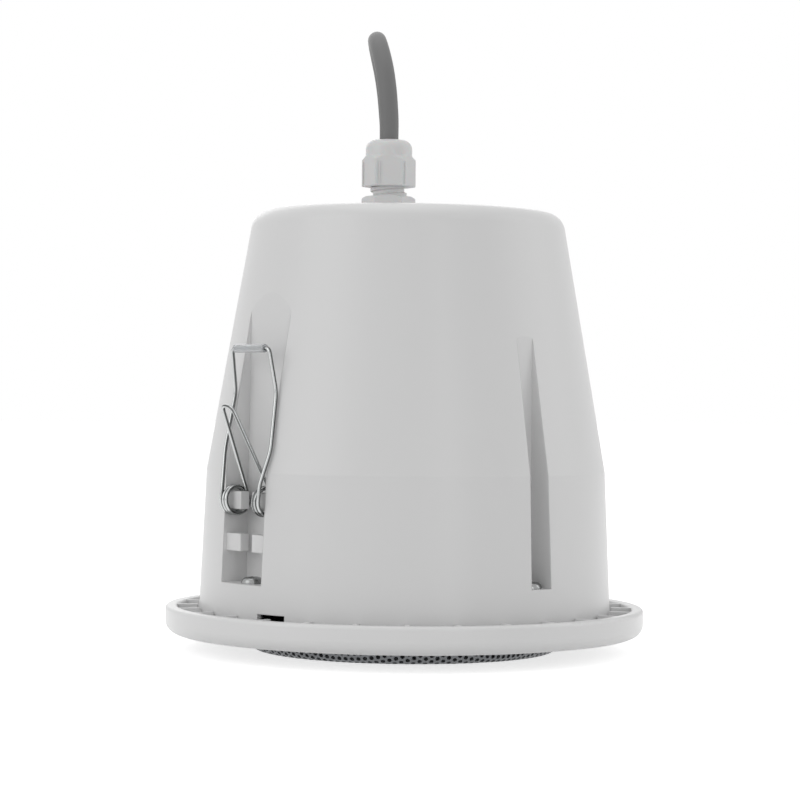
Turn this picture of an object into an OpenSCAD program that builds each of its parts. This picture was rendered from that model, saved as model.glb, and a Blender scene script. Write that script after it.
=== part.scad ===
// Moisture-proof ceiling loudspeaker, standing face down on its grille.
// +Z points up through the cable gland, z = 0 is the grille's front face.
// The spring clips are on +X and -X, the narrow screw pockets on +Y and -Y.

/* [Front ring] */
// Outer diameter of the front ring
ring_d = 200; // [194:1:215]
// Height of the ring's outer rim
ring_h = 11.4; // [10:0.1:15]
// Thickness of the rim's wall
rim_wall = 5; // [3.5:0.5:6]
// Width of the open channel between the rim and the housing
channel_w = 8.65; // [8:0.05:12]
// Radius of the ring's lower outer edge
ring_edge_r = 5; // [2:0.5:7]
// Thickness of the ring's face
ring_plate = 2.4; // [2:0.1:4]
// Number of ribs between the rim and the housing
rib_count = 28; // [20:4:40]
// Thickness of each rib
rib_w = 2; // [1:0.5:3]
// Height of the ledge that carries the driver
ledge_h = 6; // [5:0.5:8]

/* [Grille] */
// Outer diameter of the grille
grille_d = 130; // [124:1:136]
// How far the grille stands out of the ring's face
grille_proud = 7; // [5:0.1:8]
// Thickness of the grille's sheet
grille_sheet = 1; // [0.6:0.1:1.5]
// Outer radius of the grille's bent edge
grille_edge_r = 4; // [2:0.5:5]
// Diameter of each hole of the coarse pattern
grille_hole_d = 6; // [3:0.5:7]
// Distance between neighbouring holes
grille_pitch = 10.2; // [9:0.2:11]
// Rings of holes around the middle one
grille_rings = 5; // [3:1:5]

/* [Housing] */
// Height of the housing above its seal
housing_h = 172.6; // [165:0.5:190]
// Height of the line where the steeper taper begins
taper_h = 64.6; // [60:0.5:70]
// Draft of the lower wall in degrees
draft_low = 2.6; // [1:0.1:3]
// Taper of the upper wall in degrees
draft_high = 9.9; // [8:0.1:11]
// Thickness of the housing's wall
housing_wall = 2.5; // [2:0.1:3]
// Radius of the housing's top edge
housing_edge_r = 8; // [6:0.5:10]
// Width of the slots in which the ring is prised off
prise_w = 14; // [8:0.5:16]
// Depth of those slots, right through the wall
prise_depth = 3.2; // [0.5:0.1:3.5]

/* [Pockets] */
// Width of the two pockets that hold the spring clips
clip_pocket_w = 27; // [27:0.5:31]
// Depth of the clip pockets at their shelf, from the housing's foot
pocket_depth = 14.35; // [13.5:0.05:16]
// Lean of their back wall towards the housing's axis in degrees
pocket_draft = 0.6; // [0:0.1:1]
// Width of the two narrow screw pockets at their shelf
slot_w = 10.4; // [10:0.1:15]
// Depth of the screw pockets at their shelf, from the housing's foot
slot_depth = 13.65; // [13:0.05:15]
// Lean of their back wall away from the axis in degrees
slot_lean = 0.6; // [0:0.1:1]
// How much their side walls close in upwards in degrees
slot_taper = 0.6; // [0:0.1:1]
// Height of the pockets' shelf above the housing's seal
shelf_h = 20.1; // [18:0.5:24]
// Distance of the housing screws inwards from the housing's foot
screw_in = 7.7; // [7.6:0.05:8]
// Diameter of a housing screw's head
screw_head_d = 9; // [7:0.5:9.5]
// Height of a housing screw's head
screw_head_h = 2.8; // [2:0.2:3.4]
// Diameter of a housing screw's shank
screw_d = 4; // [3:0.5:5]

/* [Spring clips] */
// Diameter of the spring wire
wire_d = 1.6; // [1.2:0.1:1.6]
// Mean diameter of each coil
spring_d = 11; // [10.8:0.1:12]
// Turns of each coil, ending half a turn round
spring_turns = 2.5; // [1.5:1:2.5]
// Distance of a coil's outer end from the clip's middle
spring_end = 12.6; // [12.2:0.1:12.6]
// Distance of the clip's axis inwards from the housing's foot
clip_in = 6.35; // [5:0.05:6.9]
// Height of the clip's axis above the pockets' shelf
clip_axis_h = 33.2; // [31:0.5:36]
// Height of the long arm above the clip's axis
arm_h = 60.9; // [50:1:70]
// Height of the short bail above the clip's axis
bail_h = 37.7; // [30:1:42]
// Half of the long arm's width at its top
arm_w = 12.5; // [11:0.1:13]
// How far the bail's end leans out from the clip's axis
bail_lean = 12; // [9:0.5:14]
// Height of a peg
peg_h = 7.1; // [5:0.1:7.2]
// Thickness of a peg
peg_t = 4; // [3:0.1:4]
// Gap between the two pegs of a pair
peg_gap = 7.6; // [6:0.2:9]
// Distance from the spare pegs up to the pegs in use
peg_step = 16.9; // [16:0.1:19]
// Outer diameter of the sleeve on the long arm
sleeve_d = 3.4; // [2.6:0.1:4]
// Length of that sleeve
sleeve_l = 19; // [14:1:19]

/* [Cable gland] */
// Distance of the gland from the housing's axis
gland_offset = 13.5; // [10:0.5:18]
// Width across the flats of the gland's hexagons
gland_af = 20; // [19:0.1:24]
// Diameter of the gland's shank
gland_shank_d = 16; // [14:0.5:16]
// Height of the gland body's hexagon
gland_hex_h = 6; // [4:0.1:7]
// Thickness of the gland's washer
gland_washer_t = 1.5; // [1:0.1:2.5]
// Bare thread between the body's hexagon and the nut
gland_neck_h = 4.1; // [3:0.1:6]
// Height of the domed nut
gland_nut_h = 20; // [18:0.2:24]
// Thickness of the locknut inside the housing
locknut_h = 5; // [4:0.5:7]
// Diameter of the cable
cable_d = 8; // [7:0.1:8.4]

/* [Driver] */
// Outer diameter of the driver's flange
driver_d = 129; // [127:0.5:131]
// Width of the flange that holds the surround's edge
seat_w = 8.5; // [8:0.5:11]
// Width of the surround's roll
roll_w = 8; // [7:0.5:9]
// Depth of the basket from its flange to its back
basket_h = 27; // [26:0.5:30]
// Thickness of the basket's sheet
basket_sheet = 1.2; // [0.8:0.1:1.5]
// Inner diameter of the voice coil's former
voice_d = 25.4; // [24:0.2:27]
// Radial clearance of the voice coil in its gap
voice_gap = 0.5; // [0.4:0.05:0.7]
// Diameter of the magnet
magnet_d = 72; // [66:1:76]
// Height of the magnet
magnet_h = 13; // [10:0.5:16]
// Thickness of the two steel plates at the magnet
pole_plate_h = 5; // [4:0.5:7]
// Diameter of the dust cap
cap_d = 36; // [32:1:40]
// How far the dust cap bulges
cap_h = 5; // [3:0.5:7]
// How far the cone can move each way
cone_travel = 2.5; // [1.5:0.5:3]

/* [Transformer] */
// Width of the transformer's core
core_w = 48; // [44:1:50]
// Height of the transformer's core
core_h = 40; // [36:1:44]
// Thickness of the stack of laminations
core_t = 20; // [16:1:24]
// Distance of the transformer from the housing's axis
core_offset = 25; // [24:1:28]
// Length of the posts that hold the transformer
post_l = 14; // [12:1:18]
// Length of the terminal block
block_l = 44; // [40:1:48]
// Height of the terminal block
block_h = 13; // [11:0.5:16]

/* [Hidden] */
$fn = 96;
eps = 0.01;

// Clearance of pieces that slide over or into one another
fit = 0.25;
// Clearance of a screw in its pilot hole
thread_fit = 0.05;

// Levels of the front ring, from the grille's face upwards
ring_z = grille_proud;
plate_z = ring_z + ring_plate;
rim_z = ring_z + ring_h;
ledge_z = plate_z + ledge_h;
gasket_t = 1;
skirt_z = plate_z + gasket_t;

// Radii of the front ring
ring_r = ring_d / 2;
rim_in_r = ring_r - rim_wall;
mouth_r = grille_d / 2 + fit;
ledge_in_r = driver_d / 2 - 6;
ledge_out_r = mouth_r + 3.25;
skirt_r = rim_in_r - channel_w;
skirt_in_r = skirt_r - housing_wall;
collar_r = skirt_in_r - fit;
collar_t = 3;
collar_h = 6;
rim_round = 1.4;
rib_z = rim_z - 0.4;

// Outline of the housing
top_z = skirt_z + housing_h;
top_t = 3;
ceiling_z = top_z - top_t;
kink_z = skirt_z + taper_h;
kink_r = skirt_r - taper_h * tan(draft_low);
function wall_r(z) = z < kink_z ? skirt_r - (z - skirt_z) * tan(draft_low)
                                : kink_r - (z - kink_z) * tan(draft_high);

// Pockets
pocket_floor_r = skirt_r - pocket_depth;
slot_floor_r = skirt_r - slot_depth;
screw_r = skirt_r - screw_in;
screw_reach = 12;
shelf_z = skirt_z + shelf_h;
shelf_t = 3;
pocket_rise = top_z + 1 - shelf_z;
post_d = 8.6;
prise_top = skirt_z + 9;

// Spring clips, in the clip's own frame: x outwards, y sideways, z up
clip_axis_r = skirt_r - clip_in;
clip_z = shelf_z + clip_axis_h;
spring_r = spring_d / 2;
spring_pitch = wire_d * 1.05;
bend_r = 2;
shin_h = 6.5;
shin_in = 0.6;
arm_out = 0.8;
arm_gap = 0.6;
knee_h = 0.7126 * arm_h;
knee_w = arm_w + 1.3;
hip_h = 0.335 * arm_h;
hip_w = arm_w + 3;
bail_w = 3.6;
bail_skew = 1;
bail_bend = 3.2;
sleeve_shift = 0.7;

// Cable gland, from the housing's top upwards
gland_r = gland_shank_d / 2;
gland_hex_r = gland_af / 2 / cos(30);
gland_base_z = top_z + gland_washer_t;
gland_neck_z = gland_base_z + gland_hex_h;
gland_nut_z = gland_neck_z + gland_neck_h;
gland_top_z = gland_nut_z + gland_nut_h;
gland_shank_z = ceiling_z - locknut_h - 3;
gland_wall = 2;
thread_h = 1.2;
nut_hex_h = 12;
nut_edge_r = 4;
dome_in = 0.12;
gland_turn = 20.7;
seal_z = gland_nut_z + 2;
seal_h = 7;
cable_r = cable_d / 2;

// Driver, from the ring's ledge upwards
flange_t = 1.5;
flange_z = ledge_z + flange_t;
edge_t = 0.5;
edge_w = 6;
seat_r = driver_d / 2 - seat_w;
cone_r = seat_r - roll_w;
basket_in_r = seat_r + 1;
spider_rise = 19;
spider_step = 16;
spider_lip = 7;
spider_z = flange_z + spider_rise;
spider_out_r = seat_r - spider_step;
spider_in_r = spider_out_r - spider_lip;
basket_back_z = flange_z + basket_h + basket_sheet;
former_t = 0.4;
former_reach = cone_travel + 1.5;
winding_h = pole_plate_h + 2 * cone_travel + 1;
former_r = voice_d / 2 + former_t;
winding_t = 0.6;
bore_r = former_r + winding_t + voice_gap;
pole_r = voice_d / 2 - voice_gap;
neck_z = spider_z - 3.4;
lip_w = 3.5;
lip_r = cone_r - lip_w;
paper = 0.8;
magnet_z = basket_back_z + pole_plate_h;
back_z = magnet_z + magnet_h;
function cone_z(r) = flange_z + (lip_r - r) / (lip_r - former_r) * (neck_z - flange_z);

// Transformer and terminal block
post_z = ceiling_z - post_l;
ear_t = 1.2;
core_top = post_z - ear_t;
core_bottom = core_top - core_h;
ear_x = core_w / 2 + 6.5;
leg_w = core_w / 3;
yoke_w = core_w / 6;
coil_t = core_t + 14;
block_y = gland_offset + gland_hex_r + 13;
block_w = 15;
block_top = ceiling_z - 3;

// Centre line of the free cable, from the gland's nut to the floor
CABLE = [
    [0, 13.5, 0], [0, 13.5, 8], [0, 14, 13.9], [0.3, 15.4, 21.7], [1.6, 19, 30.6],
    [4.3, 24.8, 38], [8.4, 31.9, 43.3], [12.6, 38, 45.8], [18.6, 45.7, 46.9],
    [24.9, 53, 45.4], [31.3, 59.3, 41.5], [37.1, 64.2, 35.4], [41.4, 67.5, 27.4],
    [44, 69.3, 18.1], [45, 69.9, 10.2], [45.8, 71.5, -11.7], [45.4, 74.3, -33.5],
    [44.4, 78.5, -55], [43.1, 83.6, -76.4], [41.3, 89.3, -97.5], [39.1, 95.3, -118.6],
    [36.4, 101.3, -139.6], [33.5, 106.9, -160.6], [32.1, 113.7, -183.1],
    [33.2, 117.6, -191.7], [35.6, 122.6, -198.9], [39.4, 128.8, -204.3],
    [44.4, 135.8, -207.8], [50.1, 143.2, -209.6], [63.7, 160.2, -210.6]
];
coil_centre = [104, 128];
coil_r = 44;
coil_rows = 3;
coil_half = coil_rows * cable_d / 2 + 0.3;
coil_out_r = coil_r + coil_half;
coil_in_r = coil_r - coil_half;

function unit(v) = v / norm(v);
function last(list) = list[len(list) - 1];
function flat_to(v, t) = unit(v - (v * t) * t);

// Direction of the path at each of its points
function headings(path) = [
    for (i = [0 : len(path) - 1])
        unit(path[min(i + 1, len(path) - 1)] - path[max(i - 1, 0)])
];

// One side vector for each point, carried along the path without twist
function sides(dirs, first) = [
    for (i = 0, side = flat_to(first, dirs[0]);
         i < len(dirs);
         i = i + 1, side = i < len(dirs) ? flat_to(side, dirs[i]) : side)
        side
];

// Round tube along a path
module tube(path, d, n = 8, first = [1, 0.2, 0.1]) {
    dirs = headings(path);
    side = sides(dirs, first);
    rings = [
        for (i = [0 : len(path) - 1])
            for (k = [0 : n - 1])
                path[i] + d / 2 * (cos(360 * k / n) * side[i]
                                   + sin(360 * k / n) * cross(dirs[i], side[i]))
    ];
    walls = [
        for (i = [0 : len(path) - 2])
            for (k = [0 : n - 1])
                let (a = i * n + k, b = i * n + (k + 1) % n)
                    each [[a, b, b + n], [a, b + n, a + n]]
    ];
    start = [for (k = [n - 1 : -1 : 0]) k];
    end = [for (k = [0 : n - 1]) (len(path) - 1) * n + k];
    polyhedron(rings, concat(walls, [start, end]), convexity = 10);
}

module at_clip_pockets() {
    for (turn = [0, 180])
        rotate(turn)
            children();
}

module at_screw_pockets() {
    for (turn = [90, 270])
        rotate(turn)
            children();
}

module at_all_pockets() {
    at_clip_pockets()
        children();
    at_screw_pockets()
        children();
}

module ring_section(inner, outer, low, high) {
    translate([inner, low])
        square([outer - inner, high - low]);
}

// Solid outline of the housing, made smaller by inset on every outer face
module housing_outline(inset, low, high, edge) {
    slope = draft_high;
    shrink = inset / cos(slope);
    centre_z = high - edge;
    centre_r = wall_r(centre_z) - shrink - edge / cos(slope);
    rotate_extrude() {
        polygon([
            [0, low],
            [wall_r(low) - inset, low],
            [kink_r - inset, kink_z],
            [centre_r + edge * cos(slope), centre_z + edge * sin(slope)],
            [centre_r, centre_z],
            [centre_r, high],
            [0, high]
        ]);
        intersection() {
            translate([centre_r, centre_z])
                circle(edge);
            translate([0, centre_z - edge])
                square([ring_r, 3 * edge]);
        }
    }
}

// Pocket with its back wall at floor_r, made larger by grow where it is a wall
module pocket(width, floor_r, draft, taper, grow) {
    low = shelf_z - (grow > 0 ? shelf_t : 0);
    high = shelf_z + pocket_rise;
    half = width / 2 + grow;
    half_top = half - pocket_rise * tan(taper);
    intersection() {
        rotate([90, 0, 0])
            linear_extrude(2 * half, center = true)
                polygon([
                    [floor_r - grow, low], [ring_r, low], [ring_r, high],
                    [floor_r - grow - pocket_rise * tan(draft), high]
                ]);
        rotate([90, 0, 90])
            linear_extrude(ring_r)
                polygon([[-half, low], [half, low], [half_top, high], [-half_top, high]]);
    }
}

module clip_pocket(grow) {
    pocket(clip_pocket_w, pocket_floor_r, pocket_draft, 0, grow);
}

module screw_pocket(grow) {
    pocket(slot_w, slot_floor_r, -slot_lean, slot_taper, grow);
}

module peg(z) {
    length = (clip_pocket_w - peg_gap) / 2 + 1;
    translate([clip_axis_r, 0, z])
        for (side = [-1, 1])
            translate([-peg_t / 2, side * (peg_gap / 2 + length / 2) - length / 2, -peg_h / 2])
                cube([peg_t, length, peg_h]);
}

module housing() {
    color("#c9cbcc") {
        difference() {
            union() {
                difference() {
                    housing_outline(0, skirt_z, top_z, housing_edge_r);
                    housing_outline(housing_wall, skirt_z - 1, ceiling_z,
                                    housing_edge_r - housing_wall);
                }
                intersection() {
                    housing_outline(0, skirt_z, top_z, housing_edge_r);
                    union() {
                        at_clip_pockets()
                            clip_pocket(housing_wall);
                        at_screw_pockets()
                            screw_pocket(housing_wall);
                    }
                }
                for (side = [-1, 1]) {
                    translate([side * ear_x, -core_offset, post_z])
                        cylinder(d = post_d, h = post_l + 1);
                    translate([side * (block_l / 2 - 5), block_y, block_top])
                        cylinder(d = post_d, h = 4);
                }
            }
            at_clip_pockets()
                clip_pocket(0);
            at_screw_pockets()
                screw_pocket(0);
            at_all_pockets()
                translate([screw_r, 0, shelf_z - shelf_t - 1])
                    cylinder(d = screw_d + 0.5, h = shelf_t + 2);
            translate([0, gland_offset, ceiling_z - 1])
                cylinder(r = gland_r + 0.1, h = top_t + 2);
            for (side = [-1, 1]) {
                translate([side * ear_x, -core_offset, post_z - 1])
                    cylinder(d = 3 + 2 * thread_fit, h = post_l - 1);
                translate([side * (block_l / 2 - 5), block_y, block_top - 1])
                    cylinder(d = 3 + 2 * thread_fit, h = 4);
            }
            at_clip_pockets()
                rotate(360 / rib_count)
                    translate([wall_r(prise_top) - prise_depth, -prise_w / 2, skirt_z + 3])
                        cube([prise_depth + 3, prise_w, prise_top - skirt_z - 3]);
        }
        at_clip_pockets() {
            peg(clip_z);
            peg(clip_z - peg_step);
        }
    }
}

module front_ring() {
    color("#cfd1d2")
        difference() {
            union() {
                rotate_extrude() {
                    difference() {
                        ring_section(mouth_r, ring_r, ring_z, plate_z);
                        ring_section(ring_r - ring_edge_r, ring_r + 1, ring_z - 1,
                                     ring_z + ring_edge_r);
                    }
                    ring_section(ring_r - ring_edge_r - 3, ring_r - ring_edge_r, ring_z, plate_z);
                    intersection() {
                        difference() {
                            translate([ring_r - ring_edge_r, ring_z + ring_edge_r])
                                circle(ring_edge_r);
                            translate([ring_r - ring_edge_r, ring_z + ring_edge_r])
                                circle(max(ring_edge_r - ring_plate, 0.1));
                        }
                        ring_section(ring_r - ring_edge_r, ring_r, ring_z,
                                     ring_z + ring_edge_r);
                    }
                    ring_section(rim_in_r, ring_r, ring_z + ring_edge_r, rim_z - rim_round);
                    ring_section(rim_in_r + rim_round, ring_r - rim_round,
                                 rim_z - rim_round - eps, rim_z);
                    for (r = [rim_in_r + rim_round, ring_r - rim_round])
                        translate([r, rim_z - rim_round])
                            circle(rim_round);
                    ring_section(collar_r - collar_t, collar_r, plate_z - 0.5,
                                 plate_z + collar_h);
                    ring_section(ledge_in_r, ledge_out_r, plate_z, ledge_z);
                }
                for (i = [0 : rib_count - 1])
                    rotate(i * 360 / rib_count)
                        translate([skirt_r + 0.4, -rib_w / 2, plate_z - 0.5])
                            cube([rim_in_r - skirt_r + 0.6, rib_w, rib_z - plate_z + 0.5]);
                at_all_pockets()
                    translate([screw_r, 0, plate_z - 0.5])
                        cylinder(d = post_d, h = shelf_z - shelf_t - plate_z + 0.5);
            }
            at_all_pockets()
                translate([screw_r, 0, plate_z + 1])
                    cylinder(d = screw_d + 2 * thread_fit, h = shelf_z);
            for (turn = [45 : 90 : 315])
                rotate(turn)
                    translate([driver_d / 2 - 3, 0, ledge_z - 5])
                        cylinder(d = 3 + 2 * thread_fit, h = 6);
        }
}

module grille() {
    high = plate_z - 0.4;
    color("#4a4c4e")
        difference() {
            rotate_extrude()
                difference() {
                    union() {
                        ring_section(0, grille_d / 2 - grille_edge_r, 0, high);
                        ring_section(0, grille_d / 2, grille_edge_r, high);
                        translate([grille_d / 2 - grille_edge_r, grille_edge_r])
                            intersection() {
                                circle(grille_edge_r);
                                translate([0, -grille_edge_r])
                                    square([grille_edge_r, grille_edge_r]);
                            }
                    }
                    ring_section(-1, grille_d / 2 - grille_edge_r, grille_sheet, high + 1);
                    ring_section(-1, grille_d / 2 - grille_sheet, grille_edge_r, high + 1);
                    translate([grille_d / 2 - grille_edge_r, grille_edge_r])
                        circle(grille_edge_r - grille_sheet);
                }
            for (row = [-grille_rings : grille_rings])
                for (i = [0 : 2 * grille_rings - abs(row)])
                    translate([(i - grille_rings + abs(row) / 2) * grille_pitch,
                               row * grille_pitch * sin(60), -1])
                        cylinder(d = grille_hole_d, h = grille_sheet + 2, $fn = 24);
        }
}

module housing_gasket() {
    color("#2b2c2d")
        rotate_extrude()
            ring_section(skirt_in_r, skirt_r, plate_z, skirt_z);
}

module screw(d, head_d, head_h, length) {
    translate([0, 0, -length])
        cylinder(d = d, h = length + eps);
    difference() {
        cylinder(d1 = head_d, d2 = head_d * 0.8, h = head_h);
        for (turn = [0, 90])
            rotate(turn)
                translate([-head_d * 0.28, -0.5, head_h * 0.45])
                    cube([head_d * 0.56, 1, head_h]);
    }
}

module housing_screws() {
    color("#b8babc")
        at_all_pockets()
            translate([screw_r, 0, shelf_z])
                screw(screw_d, screw_head_d, screw_head_h, shelf_t + screw_reach);
}

// Where a leg at this height and width lies on the housing's wall
function leg_out(h, w) =
    sqrt(wall_r(clip_z + h) ^ 2 - w ^ 2) + wire_d / 2 + arm_gap - clip_axis_r;

// Three points that round a corner b between its neighbours a and c
function bend(a, b, c, r) =
    let (back = unit(a - b), on = unit(c - b))
        [b + r * back, b + 0.32 * r * (back + on), b + r * on];

// Turns of one coil, from the long arm's leg to the bail's leg
function spring_coil(steps) = [
    for (i = [0 : steps])
        let (turn = 360 * spring_turns * i / steps)
            [spring_r * cos(turn), spring_end - spring_pitch * spring_turns * i / steps,
             -spring_r * sin(turn)]
];

// One half of the spring's wire, side is 1 or -1
function half_wire(side) =
    let (
        top = [arm_out, 0, arm_h],
        corner = [arm_out, arm_w, arm_h],
        knee = [leg_out(knee_h, knee_w), knee_w, knee_h],
        hip = [leg_out(hip_h, hip_w), hip_w, hip_h],
        shin = [spring_r - shin_in, spring_end, shin_h],
        coil = spring_coil(round(18 * spring_turns)),
        tip = [bail_lean, bail_w, bail_h - side * bail_skew / 2],
        wire = concat(
            [top],
            bend(top, corner, knee, bend_r),
            bend(corner, knee, hip, bend_r),
            bend(knee, hip, shin, bend_r),
            bend(hip, shin, coil[0], bend_r),
            coil,
            bend(last(coil), tip, [bail_lean, 0, bail_h], bail_bend)
        )
    )
        [for (p = wire) [p.x, side * p.y, p.z]];
function reversed(path) = [for (i = [len(path) - 1 : -1 : 0]) path[i]];

module spring_clip() {
    translate([clip_axis_r, 0, clip_z])
        tube(concat(half_wire(1), reversed(half_wire(-1))), wire_d, 8, [1, 0, 0]);
}

module spring_clip_right() {
    color("#b9bcbf")
        spring_clip();
}

module spring_clip_left() {
    color("#b9bcbf")
        rotate(180)
            spring_clip();
}

module clip_sleeve() {
    translate([clip_axis_r + arm_out, sleeve_l / 2 - sleeve_shift, clip_z + arm_h])
        rotate([90, 0, 0])
            difference() {
                cylinder(d = sleeve_d, h = sleeve_l);
                translate([0, 0, -1])
                    cylinder(d = wire_d + 0.1, h = sleeve_l + 2);
            }
}

module clip_sleeve_right() {
    color("#8f9296")
        clip_sleeve();
}

module clip_sleeve_left() {
    color("#8f9296")
        rotate(180)
            clip_sleeve();
}

module hexagon(h) {
    rotate(gland_turn)
        cylinder(r = gland_hex_r, h = h, $fn = 6);
}

module gland_body() {
    color("#e4e6e6")
        translate([0, gland_offset, 0])
            difference() {
                union() {
                    translate([0, 0, gland_shank_z])
                        cylinder(r = gland_r, h = gland_base_z - gland_shank_z + eps);
                    translate([0, 0, gland_base_z])
                        intersection() {
                            hexagon(gland_hex_h);
                            cylinder(r1 = gland_hex_r + gland_hex_h, r2 = gland_hex_r - 0.5,
                                     h = gland_hex_h);
                        }
                    translate([0, 0, gland_neck_z - eps])
                        cylinder(r = gland_r - thread_h, h = gland_neck_h + 10);
                }
                translate([0, 0, gland_shank_z - 1])
                    cylinder(r = cable_r + fit, h = gland_top_z);
                translate([0, 0, seal_z])
                    cylinder(r = gland_r - gland_wall, h = gland_nut_h);
            }
}

// Outside of the domed nut before its flats are cut
module nut_profile() {
    dome_r = gland_af / 2 - dome_in;
    shoulder = nut_hex_h + gland_hex_r - dome_r;
    polygon([
        [0, 0], [gland_hex_r, 0], [gland_hex_r, nut_hex_h], [dome_r, shoulder],
        [dome_r, gland_nut_h - nut_edge_r], [dome_r - nut_edge_r, gland_nut_h - nut_edge_r],
        [dome_r - nut_edge_r, gland_nut_h], [0, gland_nut_h]
    ]);
    intersection() {
        translate([dome_r - nut_edge_r, gland_nut_h - nut_edge_r])
            circle(nut_edge_r);
        translate([dome_r - nut_edge_r - 1, gland_nut_h - nut_edge_r])
            square(nut_edge_r + 2);
    }
}

module gland_nut() {
    bore_r = gland_r - thread_h + fit;
    bore_h = gland_nut_h - 8;
    color("#e9ebeb")
        translate([0, gland_offset, gland_nut_z])
            difference() {
                intersection() {
                    hexagon(gland_nut_h);
                    rotate_extrude()
                        nut_profile();
                }
                translate([0, 0, -1])
                    cylinder(r = bore_r, h = bore_h + 1);
                translate([0, 0, bore_h - eps])
                    cylinder(r1 = bore_r, r2 = cable_r + fit, h = 3);
                translate([0, 0, bore_h])
                    cylinder(r = cable_r + fit, h = gland_nut_h);
            }
}

module gland_seal() {
    color("#3a3b3c")
        translate([0, gland_offset, seal_z])
            rotate_extrude()
                ring_section(cable_r, gland_r - gland_wall, 0, seal_h);
}

module gland_washer() {
    color("#2f3031")
        translate([0, gland_offset, top_z])
            rotate_extrude()
                ring_section(gland_r + 0.1, gland_af / 2, 0, gland_washer_t);
}

module gland_locknut() {
    color("#e2e4e4")
        translate([0, gland_offset, ceiling_z - locknut_h])
            difference() {
                hexagon(locknut_h);
                translate([0, 0, -1])
                    cylinder(r = gland_r + thread_fit, h = locknut_h + 2);
            }
}

module cable_entry() {
    color("#7d7f82")
        translate([0, gland_offset, gland_shank_z - 8])
            cylinder(d = cable_d, h = gland_top_z - gland_shank_z + 8);
}

module cable() {
    color("#7d7f82")
        translate([0, gland_offset - CABLE[0].y, gland_top_z])
            tube(CABLE, cable_d, 10);
}

module cable_coil() {
    color("#7d7f82")
        translate([coil_centre.x, coil_centre.y, 0])
            rotate_extrude()
                ring_section(coil_in_r, coil_out_r, 0, cable_d);
}

module cable_tie() {
    band = 1;
    slack = 0.1;
    width = 4;
    color("#e0e2e3")
        translate([coil_centre.x, coil_centre.y, 0])
            rotate(-50)
                translate([coil_in_r - band, -width / 2, 0])
                    difference() {
                        cube([coil_out_r - coil_in_r + 2 * band, width, cable_d + band]);
                        translate([band - slack, -1, -1])
                            cube([coil_out_r - coil_in_r + 2 * slack, width + 2, cable_d + 1]);
                    }
}

module cable_end() {
    color("#8a5a3a")
        translate([coil_centre.x, coil_centre.y, cable_r])
            intersection() {
                rotate(-125)
                    for (i = [-1, 1])
                        translate([coil_in_r, i * 1.6, 0])
                            rotate([0, -90, 40])
                                translate([0, 0, -6])
                                    cylinder(d = 1.8, h = 30, $fn = 24);
                cylinder(r = coil_in_r, h = cable_d, center = true);
            }
}

module at_driver_screws() {
    for (turn = [45 : 90 : 315])
        rotate(turn)
            translate([driver_d / 2 - 3, 0, ledge_z])
                children();
}

module driver_gasket() {
    color("#2b2c2d")
        difference() {
            rotate_extrude()
                ring_section(ledge_in_r, driver_d / 2, ledge_z, flange_z - edge_t);
            at_driver_screws()
                cylinder(d = 3 + 2 * fit, h = 4 * flange_t, center = true);
        }
}

module surround() {
    lip = cone_r;
    middle = lip + roll_w / 2;
    low = flange_z - edge_t;
    color("#1f2021")
        difference() {
            rotate_extrude() {
                ring_section(lip - lip_w, lip, low, flange_z);
                ring_section(seat_r, seat_r + edge_w, low, flange_z);
                intersection() {
                    difference() {
                        translate([middle, flange_z])
                            circle(roll_w / 2 + edge_t);
                        translate([middle, flange_z])
                            circle(roll_w / 2);
                    }
                    ring_section(lip - 1, seat_r + 1, 0, flange_z);
                }
            }
            at_driver_screws()
                cylinder(d = 3 + 2 * fit, h = 4 * flange_t, center = true);
        }
}

module basket() {
    s = basket_sheet;
    back = basket_back_z - s;
    color("#303234")
        difference() {
            rotate_extrude()
                polygon([
                    [driver_d / 2, flange_z], [basket_in_r, flange_z],
                    [spider_out_r, spider_z], [spider_in_r, spider_z],
                    [spider_in_r, back], [bore_r, back],
                    [bore_r, back + s], [spider_in_r + s, back + s],
                    [spider_in_r + s, spider_z + s], [spider_out_r + s, spider_z + s],
                    [basket_in_r + s, flange_z + s], [driver_d / 2, flange_z + s]
                ]);
            for (turn = [0 : 90 : 270])
                rotate(turn)
                    translate([0, 0, flange_z + 4.5])
                        linear_extrude(spider_z - flange_z - 6.5)
                            polygon([for (c = [[0.3, -0.15], [1.3, -0.6], [1.3, 0.6], [0.3, 0.15]])
                                basket_in_r * c]);
            for (turn = [45 : 90 : 315])
                rotate(turn)
                    translate([driver_d / 2 - 3, 0, flange_z - 1])
                        cylinder(d = 3.6, h = s + 2);
        }
}

module driver_screws() {
    color("#a9abad")
        for (turn = [45 : 90 : 315])
            rotate(turn)
                translate([driver_d / 2 - 3, 0, flange_z + basket_sheet])
                    screw(3, 5.6, 2, basket_sheet + 1.5 + 4);
}

module cone() {
    color("#26272a")
        rotate_extrude()
            polygon([
                [cone_r, flange_z], [cone_r, flange_z + paper],
                [lip_r + 0.4, flange_z + paper], [former_r, neck_z + paper * 1.6],
                [former_r, neck_z], [lip_r, flange_z]
            ]);
}

module dust_cap() {
    half = cap_d / 2;
    big = (half * half + cap_h * cap_h) / (2 * cap_h);
    low = cone_z(half) - cap_h;
    color("#1d1e20")
        intersection() {
            translate([0, 0, low + big])
                difference() {
                    sphere(big);
                    sphere(big - 0.5);
                }
            translate([0, 0, low - 1])
                cylinder(r = half, h = cap_h + 0.95);
        }
}

module voice_former() {
    color("#c8a46a")
        rotate_extrude()
            ring_section(former_r - former_t, former_r, neck_z, magnet_z + former_reach);
}

module voice_winding() {
    low = basket_back_z + pole_plate_h / 2 - winding_h / 2;
    color("#b5683a")
        rotate_extrude()
            ring_section(former_r, former_r + winding_t, low, low + winding_h);
}

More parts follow.
